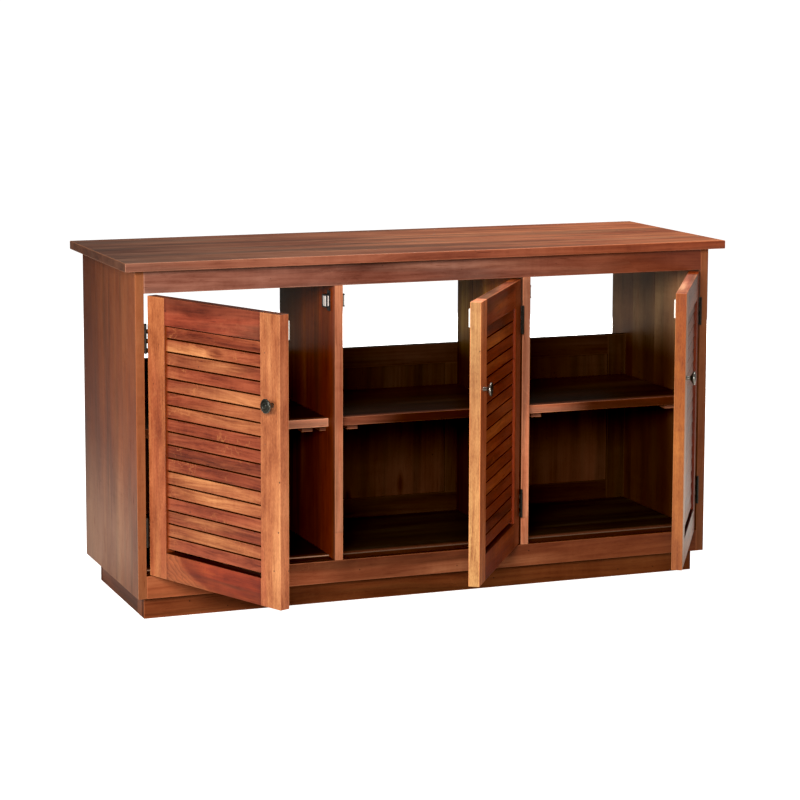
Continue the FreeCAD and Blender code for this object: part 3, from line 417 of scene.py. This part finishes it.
def turned_metal(node, colour, bright, rough=0.33):
    """A lathe-turned knob, dark, with its rim and the ring of its face brighter, partly rubbed wear and partly painted
    highlight, and a painted highlight on its neck.
    """
    m, g, p = principled("metal_" + node)
    matrix, half = board_frame(node, "z")
    tc = g.add("ShaderNodeTexCoord")
    mapping = g.add("ShaderNodeMapping", vector_type="POINT")
    g.put(mapping.inputs["Vector"], tc.outputs["Object"])
    mapping.inputs["Location"].default_value = matrix.to_translation()
    mapping.inputs["Rotation"].default_value = matrix.to_3x3().to_euler("XYZ")
    x, y, z = g.split(mapping.outputs[0])
    radius = g.vmath("LENGTH", g.join(x, y, 0.0))
    grain = g.noise(g.vmath("SCALE", tc.outputs["Object"], 900.0), 3.0, 0.6)
    cloud = g.noise(g.vmath("SCALE", tc.outputs["Object"], 160.0), 2.0, 0.5)
    lines = g.noise(g.join(g.math("MULTIPLY", radius, 2600.0), g.math("MULTIPLY", z, 2600.0), 0.0), 1.0, 0.5)
    rim = g.ranged(radius, 0.80 * float(half[0]), 0.985 * float(half[0]), 0.0, 1.0, smooth=True)
    rim = g.math("MULTIPLY", rim, g.ranged(cloud, 0.35, 0.65, 0.45, 1.0, smooth=True))
    neck = g.math("MULTIPLY", g.math("LESS_THAN", radius, 0.42 * float(half[0])), g.math("GREATER_THAN", z, -0.3 * float(half[2])))
    rim = g.math("MAXIMUM", rim, g.math("MULTIPLY", neck, 0.6))
    k = g.math("MULTIPLY_ADD", g.math("SUBTRACT", cloud, 0.5), 0.9, g.math("MULTIPLY_ADD", g.math("SUBTRACT", grain, 0.5), 0.5, 1.0))
    base = g.vmath("SCALE", colour, k)
    g.put(p.inputs["Base Color"], g.mix(rim, base, bright))
    p.inputs["Metallic"].default_value = 0.9
    g.put(p.inputs["Roughness"], g.math("MULTIPLY_ADD", rim, -0.08, g.math("MULTIPLY_ADD", g.math("SUBTRACT", grain, 0.5), 0.2, rough), clamp=True))
    bump = g.add("ShaderNodeBump")
    bump.inputs["Strength"].default_value = 0.15
    bump.inputs["Distance"].default_value = 0.0001
    g.put(bump.inputs["Height"], g.math("MULTIPLY_ADD", lines, 1.0, g.math("MULTIPLY", grain, 0.6)))
    g.put(p.inputs["Normal"], bump.outputs[0])
    return m


def dress(node, material):
    mesh = nodes[node].data
    mesh.materials.clear()
    mesh.materials.append(material)


def painted_depth_shade(axis=None, sign=1.0, deep=0.14, front=-0.245, reach=0.20, rear=True, hue=(1.0, 0.78, 0.55)):
    """Painted shade inside the compartments: it deepens with the distance behind the front edge."""
    def paint(g, at, colour):
        k = g.ranged(at["o"][1], front + 0.001, front + reach, 0.0, 1.0, smooth=True)
        if axis is not None:
            k = g.math("MULTIPLY", k, g.math("GREATER_THAN", g.math("MULTIPLY", at["n"][axis], sign), 0.5))
        if rear:
            k = g.math("MULTIPLY", k, g.math("LESS_THAN", at["n"][1], 0.5))
        return g.mix(k, colour, g.vmath("MULTIPLY", colour, shade(hue, deep)))
    return paint


def painted_back_light(axis, sign, k=(2.2, 2.2, 2.2)):
    """Painted light and reflection on the upper half of the inner faces, where the back is open."""
    def paint(g, at, colour):
        up = g.math("MULTIPLY", g.ranged(at["o"][2], 0.50, 0.62, 0.0, 1.0, smooth=True), g.ranged(at["o"][1], -0.24, -0.05, 0.0, 1.0, smooth=True))
        on = g.math("MULTIPLY", up, g.math("GREATER_THAN", g.math("MULTIPLY", at["n"][axis], sign), 0.5))
        return g.mix(on, colour, g.vmath("MULTIPLY", colour, k))
    return paint


def turned_to(axis, sign, k, least=0.6):
    """Colour of the faces that look one way in the board's own frame."""
    def paint(g, at, colour):
        on = g.math("GREATER_THAN", g.math("MULTIPLY", at["facing"][axis], sign), least)
        return g.mix(on, colour, g.vmath("MULTIPLY", colour, k))
    return paint


def arrises(*lines, tone=1.3):
    """Lines along single long edges of a board: painted highlight, or painted shade when the tone is below one: side
    across, side through, strength.
    """
    def paint(g, at, colour):
        for across, through, strength in lines:
            d = g.math("MAXIMUM", g.math("SUBTRACT", at["half"][1], g.math("MULTIPLY", at["y"], across)),
                       g.math("SUBTRACT", at["half"][2], g.math("MULTIPLY", at["z"], through)))
            d = g.math("MULTIPLY_ADD", at["wobble"], -0.0016, d)
            k = g.ranged(d, -0.0004, 0.0009, strength, 0.0, smooth=True)
            colour = g.mix(k, colour, shade(at["pale"], tone))
        return colour
    return paint


def along(axis, stops, fronts=True, ease=True):
    """Colour that changes along one axis of the cabinet, on the faces to the front or on all of them."""
    def paint(g, at, colour):
        out = g.vmath("MULTIPLY", colour, stops[0][1])
        for (p, _), (q, k) in zip(stops, stops[1:]):
            out = g.mix(g.ranged(at["o"][axis], p, q, 0.0, 1.0, smooth=ease), out, g.vmath("MULTIPLY", colour, k))
        if not fronts:
            return out
        return g.mix(g.math("LESS_THAN", at["n"][1], -0.7), colour, out)
    return paint


def swirl(cx, cz, wide, tall, light):
    """Flat-sawn arcs about a heart near one edge: lighter and ringed outside, dark just within."""
    def paint(g, at, colour):
        u = g.math("MULTIPLY", g.math("SUBTRACT", at["x"], cx), 1.0 / wide)
        v = g.math("MULTIPLY", g.math("SUBTRACT", at["z"], cz), 1.0 / tall)
        d = g.math("SQRT", g.math("MULTIPLY_ADD", u, u, g.math("MULTIPLY", v, v)))
        d = g.math("MULTIPLY_ADD", g.math("SUBTRACT", at["wobble"], 0.5), 0.14, d)
        arcs = g.math("POWER", g.math("FRACT", g.math("MULTIPLY", d, 13.0)), 2.0)
        on = g.ranged(d, 0.95, 1.10, 0.0, 0.85, smooth=True)
        rim = g.math("MULTIPLY", g.ranged(d, 0.66, 0.93, 0.0, 0.8, smooth=True), g.ranged(d, 0.95, 1.06, 1.0, 0.0, smooth=True))
        colour = g.mix(rim, colour, g.vmath("MULTIPLY", colour, (0.55, 0.46, 0.42)))
        colour = g.mix(on, colour, g.mix(0.5, colour, light))
        return g.mix(g.math("MULTIPLY", arcs, on), colour, g.vmath("MULTIPLY", colour, (0.50, 0.40, 0.34)))
    return paint


def banded(low, high, k):
    """One long side of a board darker or lighter, with an uneven border along the grain."""
    def paint(g, at, colour):
        z = g.math("MULTIPLY_ADD", g.math("SUBTRACT", at["wobble"], 0.5), 0.010, at["z"])
        z = g.math("MULTIPLY_ADD", at["x"], -0.03, z)
        return g.mix(g.ranged(z, low, high, 0.0, 1.0, smooth=True), colour, g.vmath("MULTIPLY", colour, k))
    return paint


def stained_ends(reach=0.012, k=(0.72, 0.58, 0.52)):
    """Stain that gathers where a rail meets its stiles."""
    def paint(g, at, colour):
        d = g.math("SUBTRACT", at["half"][0], g.math("ABSOLUTE", at["x"]))
        return g.mix(g.ranged(d, 0.0, reach, 0.9, 0.0, smooth=True), colour, g.vmath("MULTIPLY", colour, k))
    return paint


# palettes: heartwood, browner streaks and sapwood, as linear colour
CARCASS = dict(red=(0.27, 0.076, 0.037), brown=(0.17, 0.058, 0.032), pale=(0.40, 0.142, 0.070))
FLANK = dict(red=(0.215, 0.058, 0.021), brown=(0.155, 0.046, 0.017), pale=(0.275, 0.083, 0.031))
TOP = dict(red=(0.34, 0.110, 0.053), brown=(0.20, 0.076, 0.041), pale=(0.46, 0.168, 0.080))
LOW = dict(red=(0.18, 0.042, 0.014), brown=(0.11, 0.028, 0.009), pale=(0.26, 0.074, 0.027))
STILE = dict(red=(0.53, 0.165, 0.061), brown=(0.46, 0.118, 0.046), pale=(0.64, 0.262, 0.102))
RAIL = dict(red=(0.34, 0.066, 0.029), brown=(0.18, 0.052, 0.025), pale=(0.50, 0.165, 0.064))
SLAT = dict(red=(0.31, 0.070, 0.029), brown=(0.25, 0.060, 0.025), pale=(0.50, 0.195, 0.070))
INNER = dict(red=(0.22, 0.066, 0.030), brown=(0.15, 0.050, 0.024), pale=(0.30, 0.100, 0.048))


def only(axis, sign, paint):
    """A paint on just the faces that look one way in the board's own frame."""
    def some(g, at, colour):
        on = g.math("GREATER_THAN", g.math("MULTIPLY", at["facing"][axis], sign), 0.6)
        return g.mix(on, colour, paint(g, at, colour))
    return some


def tinted(palette, k):
    return {name: tuple(a * b for a, b in zip(c, k)) for name, c in palette.items()}


def flanked(sign):
    """The outer face of a side: darker and browner towards the back, greyer high up, and paler low down, where a
    reflection of the pale floor is painted.
    """
    def paint(g, at, colour):
        on = g.math("GREATER_THAN", g.math("MULTIPLY", at["n"][0], -sign), 0.5)
        back = g.math("MULTIPLY_ADD", g.math("SUBTRACT", at["wobble"], 0.5), 0.04, at["o"][1])
        back = g.ranged(back, -0.235, 0.215, 0.0, 1.0)
        body = g.mix(back, g.vmath("MULTIPLY", colour, (1.40, 1.24, 0.98)), g.vmath("MULTIPLY", colour, (0.46, 0.28, 0.14)))
        foot = g.mix(back, g.vmath("MULTIPLY", colour, (1.42, 2.00, 2.8)), g.vmath("MULTIPLY", colour, (1.18, 1.75, 2.5)))
        low = g.ranged(at["o"][2], 0.41, 0.15, 0.0, 1.0, smooth=True)
        high = g.ranged(at["o"][2], 0.50, 0.76, 0.0, 1.0, smooth=True)
        new = g.mix(low, body, foot)
        new = g.mix(high, new, g.vmath("MULTIPLY", new, (1.01, 1.18, 1.42)))
        return g.mix(on, colour, new)
    return paint


# painted light: the top lighter towards the right, and its front edge lighter and greyer towards the left
dress("top_panel", wood("top_panel", "x", 1.0, planks=dict(across="y", count=5), spread=0.10, dots=0.25, streak=0.34, broad=0.60, mottle=0.8,
                        fade=((0.60, 0.78, 0.93), (1.47, 1.30, 0.99)),
                        inside=[along(0, ((-0.75, (1.48, 1.30, 1.34)), (0.0, (1.04, 0.90, 0.98)), (0.62, (0.56, 0.38, 0.35)))),
                                turned_to(0, -1.0, (1.0, 0.84, 0.74))], **TOP))
for i, side in enumerate(("left", "right")):
    sign = 1.0 if side == "left" else -1.0
    # painted shade inside, painted light high on the inner face, a painted reflection low on the outer face, and
    # painted edge lines
    dress("side_panel_" + side, wood("side_panel_" + side, "z", 2.0 + i, planks=dict(across="z", count=4), spread=0.03, dots=0.3,
                                     mottle=0.80, broad=0.26, streak=0.09, ring=0.10, fibre=0.10, patch=0.16, soft=0.10, gloss=0.18, line=0.13,
                                     front=((1.24, 1.33, 1.35), (1.32, 1.36, 1.40)),
                                     inside=[painted_depth_shade(0, sign, deep=0.22, hue=(1.0, 1.05, 1.0)), painted_back_light(0, sign, (4.2, 7.2, 8.4)), flanked(sign),
                                             arrises((1.0, -1.0, 0.75), tone=0.18) if side == "right" else arrises((1.0, -1.0, 0.2))], **FLANK))
    # painted light on the dividers' front edges between these heights, painted shade deepening into each bay, painted
    # light high on the right divider's left face, and painted edge lines
    edges = along(2, ((0.168, (1.15, 1.15, 1.1)), (0.178, (1.48, 1.60, 1.58)), (0.38, (1.48, 1.60, 1.58)), (0.46, (1.0, 1.0, 1.0))))
    depth = along(1, ((-0.2445, (1.0, 1.0, 1.0)), (-0.22, (1.06, 0.52, 0.12)), (-0.06, (0.66, 0.46, 0.13)), (0.10, (0.28, 0.27, 0.12))), fronts=False)
    shade_left = [] if side == "left" else [painted_depth_shade(0, -1.0, deep=0.44, front=-0.2455, reach=0.004, hue=(1.0, 0.95, 0.8)), painted_back_light(0, -1.0, (6.2, 10.2, 15.0))]
    lit = {"left": (2.05, 2.35, 2.4), "right": (2.7, 3.1, 3.15)}[side]
    dress("divider_" + side, wood("divider_" + side, "z", 4.0 + i, planks=dict(across="z", count=4), spread=0.0, dots=0.3, mottle=0.3, gloss=0.05, wear_and_highlight=0.2,
                                  front=(lit, lit), inside=[depth, *shade_left, edges,
                                  arrises((-1.0, -1.0, 0.45 if side == "left" else 0.15)),
                                  arrises((1.0, -1.0, 0.35)) if side == "left" else arrises((1.0, -1.0, 0.75), tone=0.18)], **CARCASS))
    dress("plinth_side_" + side, wood("plinth_side_" + side, "y", 6.0 + i, **LOW))
    # painted shade on the back frame, deepening behind the front edge
    dress("back_stile_" + side, wood("back_stile_" + side, "z", 8.0 + i, inside=[painted_depth_shade(hue=(0.98, 1.12, 1.0))], gloss=0.15, **INNER))
    dress("back_muntin_" + side, wood("back_muntin_" + side, "z", 10.0 + i, inside=[painted_depth_shade(hue=(0.98, 1.12, 1.0))], gloss=0.15, **INNER))
# painted light: the apron's front lighter and greyer towards the left, darker towards the right
dress("front_top_rail", wood("front_top_rail", "x", 12.0, mottle=0.85, patch=0.35,
                               inside=[along(0, ((-0.70, (0.94, 1.26, 1.66)), (0.0, (0.88, 1.02, 1.28)), (0.50, (0.64, 0.52, 0.45)), (0.72, (0.58, 0.42, 0.33))), ease=False)],
                               **CARCASS))
dress("rear_top_rail", wood("rear_top_rail", "x", 16.0, **CARCASS))
# painted light on the bottom rail's left end, where light reaches under the left door, and painted shade on its top
# face
low = along(0, ((-0.70, (1.45, 1.45, 1.5)), (-0.55, (1.4, 1.4, 1.45)), (-0.36, (2.7, 3.0, 3.6)), (-0.20, (0.95, 0.98, 1.1)), (0.70, (0.90, 0.88, 0.86))))
dress("front_bottom_rail", wood("front_bottom_rail", "x", 13.0, gloss=0.25, mottle=0.6, patch=0.3,
                                inside=[low, turned_to(2, 1.0, (0.35, 0.28, 0.2))], **LOW))
# painted shade: the plinth's front darker towards the right
dress("plinth_front", wood("plinth_front", "x", 14.0, gloss=0.25, mottle=0.6, inside=[along(0, ((-0.70, (1.0, 1.0, 0.95)), (-0.05, (0.92, 1.02, 0.82)), (0.70, (0.60, 0.56, 0.40)))),
                           arrises((-1.0, -1.0, 0.55))], **LOW))
dress("plinth_back", wood("plinth_back", "x", 15.0, gloss=0.25, **LOW))
dress("plinth_center_bearer", wood("plinth_center_bearer", "y", 18.0, **LOW))
# painted shade on the back rails, deepening behind the front edge
for i, n in enumerate(("back_bottom_rail", "back_top_rail")):
    dress(n, wood(n, "x", 20.0 + i, inside=[painted_depth_shade(deep=(0.10, 0.125)[i], hue=(0.96, 1.0, 1.0))], gloss=0.15, **INNER))


def lipped(g, at, colour):
    """The bottom panel's front edge: a painted highlight along its top, brightest in the left bay, and painted shade
    under that.
    """
    front = g.math("LESS_THAN", at["n"][1], -0.3)
    top = g.ranged(at["o"][2], 0.1070, 0.1080, 0.0, 1.0, smooth=True)
    bright = g.ranged(at["o"][0], -0.26, -0.20, 2.4, 0.5, smooth=True)
    colour = g.mix(front, colour, g.vmath("MULTIPLY", colour, (0.25, 0.2, 0.15)))
    lip = g.vmath("SCALE", (0.25, 0.135, 0.085), bright)
    return g.mix(g.math("MULTIPLY", front, top), colour, lip)


# painted shade on the bottom panel behind its front edge
dress("bottom_panel", wood("bottom_panel", "x", 22.0, planks=dict(across="y", count=4), wear_and_highlight=0.2,
                           inside=[painted_depth_shade(deep=0.12, front=-0.2015, reach=0.03, hue=(1.05, 1.7, 2.2)), lipped], gloss=0.10, **INNER))
dress("shelf_cleats", wood("shelf_cleats", "y", 23.0, **CARCASS))
# painted light on the shelves' front edges and painted shadow where the open doors shade them, with painted shade
# behind
for i, bay in enumerate(("left", "middle", "right")):
    lit = {"left": ((-0.64, (0.5, 0.4, 0.3)), (-0.50, (3.6, 4.7, 5.2))), "middle": ((-0.19, (1.1, 1.1, 1.1)), (-0.05, (0.16, 0.09, 0.03))),
           "right": ((0.30, (2.5, 2.6, 2.5)), (0.44, (0.32, 0.21, 0.12)))}[bay]
    dress("shelf_" + bay, wood("shelf_" + bay, "x", 24.0 + i, planks=dict(across="y", count=4), spread=0.05,
                               inside=[along(0, lit), painted_depth_shade(front=-0.2015, reach=0.03, hue=(0.9, 0.95, 0.8))], gloss=0.2, **CARCASS))
    # painted shade on the back panels, lightest in the left bay where light comes in beside the left door, and painted
    # lighter low down
    dress("back_panel_" + bay, wood("back_panel_" + bay, "z", 27.0 + i, broad=0.26, streak=0.14, line=0.14,
                                    inside=[painted_depth_shade(deep={"left": 0.50, "middle": 0.135, "right": 0.19}[bay], hue=(1.0, 1.04, 1.0)), along(2, ((0.18, (1.50, 1.45, 1.4)), (0.42, (0.80, 0.88, 0.9))))], gloss=0.12, **INNER))

# doors: colours of the hinge stile and its inner face, latch stile, free edge, rails, slats and top edge. They are
# painted light and shade: the three doors are differently lit copies of one wood, inner holds painted shade, over and
# brow paint the top ends and top faces (painted shade on the left door, painted light on the others), rise paints a
# change with height, lines sets the strength of painted edge highlights
DOORS = {"left": dict(hinge=(0.86, 0.85, 0.78), inner=(0.45, 0.29, 0.19), latch=(0.91, 0.94, 0.91), edge=(0.96, 0.76, 0.78), top=(0.95, 0.88, 0.86),
                      low=(0.64, 0.345, 0.195), slat=(0.86, 0.74, 0.70), over=(0.35, 0.25, 0.2), brow=(0.35, 0.25, 0.2), lines=(0.55, 0.0, 0.6), rise=(0.92, 0.94, 0.95)),
         "middle": dict(hinge=(0.54, 0.28, 0.10), inner=(0.80, 0.62, 0.60), latch=(1.42, 1.10, 0.96), edge=(0.676, 1.152, 1.184), top=(0.88, 0.57, 0.22),
                        low=(0.66, 0.33, 0.06), slat=(0.88, 0.49, 0.20), over=(1.42, 1.8, 2.54), brow=(2.5, 5.6, 14.5), lines=(0.1, 0.55, 0.55), rise=(0.70, 0.65, 0.65)),
         "right": dict(hinge=(0.46, 0.19, 0.05), inner=(0.80, 0.62, 0.60), latch=(0.72, 0.65, 0.56), edge=(0.62, 0.48, 0.38), top=(0.75, 0.55, 0.38),
                       low=(0.8, 0.6, 0.42), slat=(0.75, 0.52, 0.38), over=(1.7, 2.0, 3.0), brow=(2.6, 4.8, 9.5), lines=(0.1, 0.5, 0.6), rise=(1.35, 1.32, 0.64))}
for i, bay in enumerate(("left", "middle", "right")):
    d, c = bay + "_door_", DOORS[bay]
    free = 1.0 if bay == "left" else -1.0
    # painted shade on the faces round the louvred opening
    recess_shade = (0.40, 0.24, 0.15)
    stile = dict(dots=0.7, streak=0.22, broad=0.34, mottle=0.60, patch=0.50, speck=0.40, wear_and_highlight=0.15, end=1.0, veins=0.15, soft=0.04, line=0.28)
    inner, fore, aft = c["lines"]
    over = turned_to(0, 1.0, c["over"])
    rise = along(2, ((0.16, (1.0, 1.0, 1.0)), (0.62, c["rise"])), fronts=False, ease=False)
    rise = rise if bay == "left" else only(1, free, rise)
    flat = [swirl(0.10, 0.045, 0.22, 0.085, (0.50, 0.17, 0.06)) if bay == "left" else stained_ends(0.004)]
    cap = [banded(-0.006, 0.014, (0.62, 0.66, 0.66)) if bay == "left" else banded(0.0, 0.02, (0.8, 0.78, 0.75))]
    dress(d + "hinge_stile", wood(d + "hinge_stile", "z", 30.0 + i, inside=[turned_to(1, free, c["inner"]), over], **stile, **tinted(STILE, c["hinge"])))
    dress(d + "latch_stile", wood(d + "latch_stile", "z", 33.0 + i, sap=0.02, inside=[turned_to(1, -free, recess_shade), turned_to(1, free, c["edge"]), over, rise,
                                  arrises((-free, -1.0, inner), (free, -1.0, fore), (free, 1.0, aft))], **stile, **tinted(STILE, c["latch"])))
    dress(d + "top_rail", wood(d + "top_rail", "x", 36.0 + i, broad=0.6, mottle=1.0, patch=0.5, wear_and_highlight=0.15, veins=0.12, line=0.40,
                               inside=[*cap, stained_ends(), turned_to(2, -1.0, recess_shade), turned_to(2, 1.0, c["brow"])], **tinted(RAIL, c["top"])))
    # painted shade on the bottom rail's top face, under the last slat
    dress(d + "bottom_rail", wood(d + "bottom_rail", "x", 51.0 + i, broad=0.6, mottle=1.0, patch=0.6, flame=1.0, wear_and_highlight=0.35, sap=-0.08, veins=0.5, line=0.40,
                                  inside=[*flat, stained_ends(), turned_to(2, 1.0, (0.12, 0.07, 0.04))], **tinted(RAIL, c["low"])))
    # the slats of a door share one mesh; they are told apart by their height
    n = d + "louvre_slats"
    dress(n, wood(n, "x", 42.0 + i * 3.0, slats=dict(pitch=0.030, face=0.027), spread={"left": 0.11}.get(bay, 0.07), sap={"left": -0.05}.get(bay, -0.12), flame=0.55, streak=0.66, fibre=0.38, line=0.62, mottle=0.7,
                  patch=0.25, speck=0.20, soft=0.10, veins=0.55, wear_and_highlight=0.12, gloss=0.22 if bay == "right" else 0.42, **tinted(SLAT, c["slat"])))

black = metal("hinge_black", (0.015, 0.013, 0.010), 0.35, 0.45, 0.55)
steel = metal("bright_steel", (0.86, 0.82, 0.76), 0.25, 0.38, 0.12)
screw = metal("screw_dark", (0.035, 0.034, 0.034), 0.8, 0.40, 0.30)
plastic = metal("catch_plastic", (0.014, 0.014, 0.014), 0.0, 0.50, 0.20)
magnet = metal("magnet", (0.060, 0.060, 0.062), 0.5, 0.60, 0.30)
for n in nodes:
    if n.endswith("hinge_leaves") or n in ("hinge_frame_leaves", "hinge_pins"):
        dress(n, black)
    elif n.endswith("knob"):
        # the knobs of the middle and right doors get a brighter painted highlight
        dress(n, turned_metal(n, (0.047, 0.047, 0.040), (0.22, 0.21, 0.18) if n.startswith("left") else (0.42, 0.40, 0.36)))
    elif n.endswith("strike_plate") or n == "catch_pole_plates":
        dress(n, steel)
    elif n.endswith("screws"):
        dress(n, screw)
    elif n == "catch_housings":
        dress(n, plastic)
    elif n == "catch_magnets":
        dress(n, magnet)


# ------------------------------------------------------------ floor and lights

def plane(name, size, z=0.0):
    mesh = bpy.data.meshes.new(name)
    mesh.from_pydata([(-size, -size, z), (size, -size, z), (size, size, z), (-size, size, z)], [], [(0, 1, 2, 3)])
    o = bpy.data.objects.new(name, mesh)
    scene.collection.objects.link(o)
    return o


# the floor that is seen, and a smaller lit patch of it that the lacquer reflects
floor = plane("floor", 60.0, -0.0005)
m, g, p = principled("floor_pale")
p.inputs["Base Color"].default_value = (0.78, 0.78, 0.78, 1.0)
p.inputs["Roughness"].default_value = 0.9
p.inputs["Specular IOR Level"].default_value = 0.0
p.inputs["Emission Color"].default_value = (1.0, 1.0, 1.0, 1.0)
p.inputs["Emission Strength"].default_value = 1.0
floor.data.materials.append(m)
floor.visible_diffuse = False
floor.visible_glossy = False

patch = plane("floor_patch", 9.0, -0.0010)
m = bpy.data.materials.new("floor_patch")
m.use_nodes = True
m.node_tree.nodes.clear()
g = Graph(m.node_tree)
glow = g.add("ShaderNodeEmission")
glow.inputs["Color"].default_value = (1.0, 0.90, 0.80, 1.0)
tc = g.add("ShaderNodeTexCoord")
px, py, _ = g.split(tc.outputs["Object"])
far = g.ranged(g.vmath("LENGTH", tc.outputs["Object"]), 1.2, 7.0, 1.0, 0.37, smooth=True)
far = g.math("MAXIMUM", far, g.ranged(py, 0.5, 2.0, 0.0, 1.0, smooth=True))
shy = g.math("MULTIPLY", g.ranged(py, 0.9, 2.2, 0.0, 1.0, smooth=True), g.ranged(px, -1.05, -1.75, 0.0, 1.0, smooth=True))
lit = g.math("MULTIPLY", g.ranged(shy, 0.0, 1.0, 0.85, 0.10), far)
lit = g.math("ADD", lit, g.math("MULTIPLY", g.ranged(px, 0.75, 1.3, 0.0, 0.85, smooth=True), far))
lit = g.math("MULTIPLY", lit, g.ranged(px, 1.4, 3.6, 1.0, 0.42, smooth=True))
# painted shadow: the reflected patch is dimmer under and in front of the cabinet, where the floor lies in its shadow
under = g.math("MULTIPLY", g.ranged(px, -0.90, -0.65, 0.0, 1.0, smooth=True), g.ranged(px, 0.70, 0.95, 1.0, 0.0, smooth=True))
under = g.math("MULTIPLY", under, g.math("MULTIPLY", g.ranged(py, -0.75, -0.50, 0.0, 1.0, smooth=True), g.ranged(py, 0.20, 0.45, 1.0, 0.0, smooth=True)))
g.put(glow.inputs["Strength"], g.math("MULTIPLY", lit, g.ranged(under, 0.0, 1.0, 1.0, 0.15)))
g.put(g.add("ShaderNodeOutputMaterial").inputs["Surface"], glow.outputs[0])
patch.data.materials.append(m)
patch.visible_camera = False
patch.visible_diffuse = False
patch.visible_shadow = False

world = bpy.data.worlds.new("studio")
scene.world = world
world.use_nodes = True
world.node_tree.nodes.clear()
g = Graph(world.node_tree)
out = g.add("ShaderNodeOutputWorld")
sky = g.add("ShaderNodeBackground")
sky.inputs["Color"].default_value = (1.0, 0.98, 0.96, 1.0)
sky.inputs["Strength"].default_value = 0.10
paper = g.add("ShaderNodeBackground")
paper.inputs["Color"].default_value = (1.0, 1.0, 1.0, 1.0)
paper.inputs["Strength"].default_value = 1.1
seen = g.add("ShaderNodeLightPath")
both = g.add("ShaderNodeMixShader")
g.put(both.inputs[0], seen.outputs["Is Camera Ray"])
g.put(both.inputs[1], sky.outputs[0])
g.put(both.inputs[2], paper.outputs[0])
g.put(out.inputs["Surface"], both.outputs[0])


def aim(o, target):
    o.rotation_mode = "QUATERNION"
    o.rotation_quaternion = (Vector(target) - o.location).to_track_quat("-Z", "Y")


def softbox(name, place, target, size, power, colour=(1.0, 1.0, 1.0), glossy=True):
    data = bpy.data.lights.new(name, "AREA")
    data.shape, data.size, data.size_y = "RECTANGLE", size[0], size[1]
    data.energy, data.color = power, colour
    o = bpy.data.objects.new(name, data)
    o.location = place
    aim(o, target)
    scene.collection.objects.link(o)
    o.visible_glossy = glossy
    return o


def around(azimuth, elevation, distance, centre=(0.0, -0.2, 0.45)):
    a, e = math.radians(azimuth), math.radians(elevation)
    return Vector(centre) + distance * Vector((math.sin(a) * math.cos(e), -math.cos(a) * math.cos(e), math.sin(e)))


CENTRE = (0.0, -0.2, 0.45)
softbox("left", around(-65.0, 13.0, 4.2), CENTRE, (1.8, 0.9), 76.0, (1.0, 0.985, 0.965))
softbox("front", around(-27.0, 18.0, 6.4), CENTRE, (2.2, 1.4), 362.0, (1.0, 0.985, 0.965), glossy=False)
softbox("low", around(-24.0, 1.0, 6.0), CENTRE, (2.4, 0.7), 46.0, (1.0, 0.95, 0.88))
softbox("behind", around(150.0, 4.0, 5.0), CENTRE, (2.4, 1.2), 130.0, (1.0, 0.97, 0.94), glossy=False)
softbox("above", (0.55, 0.0, 2.5), (0.45, 0.0, 0.8), (1.8, 1.2), 32.0, (1.0, 0.97, 0.94))

# ---------------------------------------------------------------------- camera
data = bpy.data.cameras.new("camera")
camera = bpy.data.objects.new("camera", data)
scene.collection.objects.link(camera)
yaw, pitch, roll = (math.radians(v) for v in (20.97, 7.29, 0.15))
fwd = Vector((math.sin(yaw) * math.cos(pitch), math.cos(yaw) * math.cos(pitch), -math.sin(pitch)))
right = Vector((math.cos(yaw), -math.sin(yaw), 0.0))
up = right.cross(fwd)
r2 = right * math.cos(roll) + up * math.sin(roll)
u2 = r2.cross(fwd)
turn = Matrix((r2, u2, -fwd)).transposed()
camera.matrix_world = Matrix.Translation((-2.13481, -5.59153, 1.4450)) @ turn.to_4x4()
data.sensor_width = 36.0
data.lens = 2478.82 * 36.0 / 800.0
data.shift_y = -0.125
data.clip_start, data.clip_end = 0.1, 400.0
scene.camera = camera
scene.view_settings.view_transform = "Standard"
scene.view_settings.look = "None"
# a photographer's black point: the deepest shade goes to black
scene.view_settings.use_curve_mapping = True
tone = scene.view_settings.curve_mapping
tone.black_level = (0.0032, 0.0025, 0.0029)
tone.update()
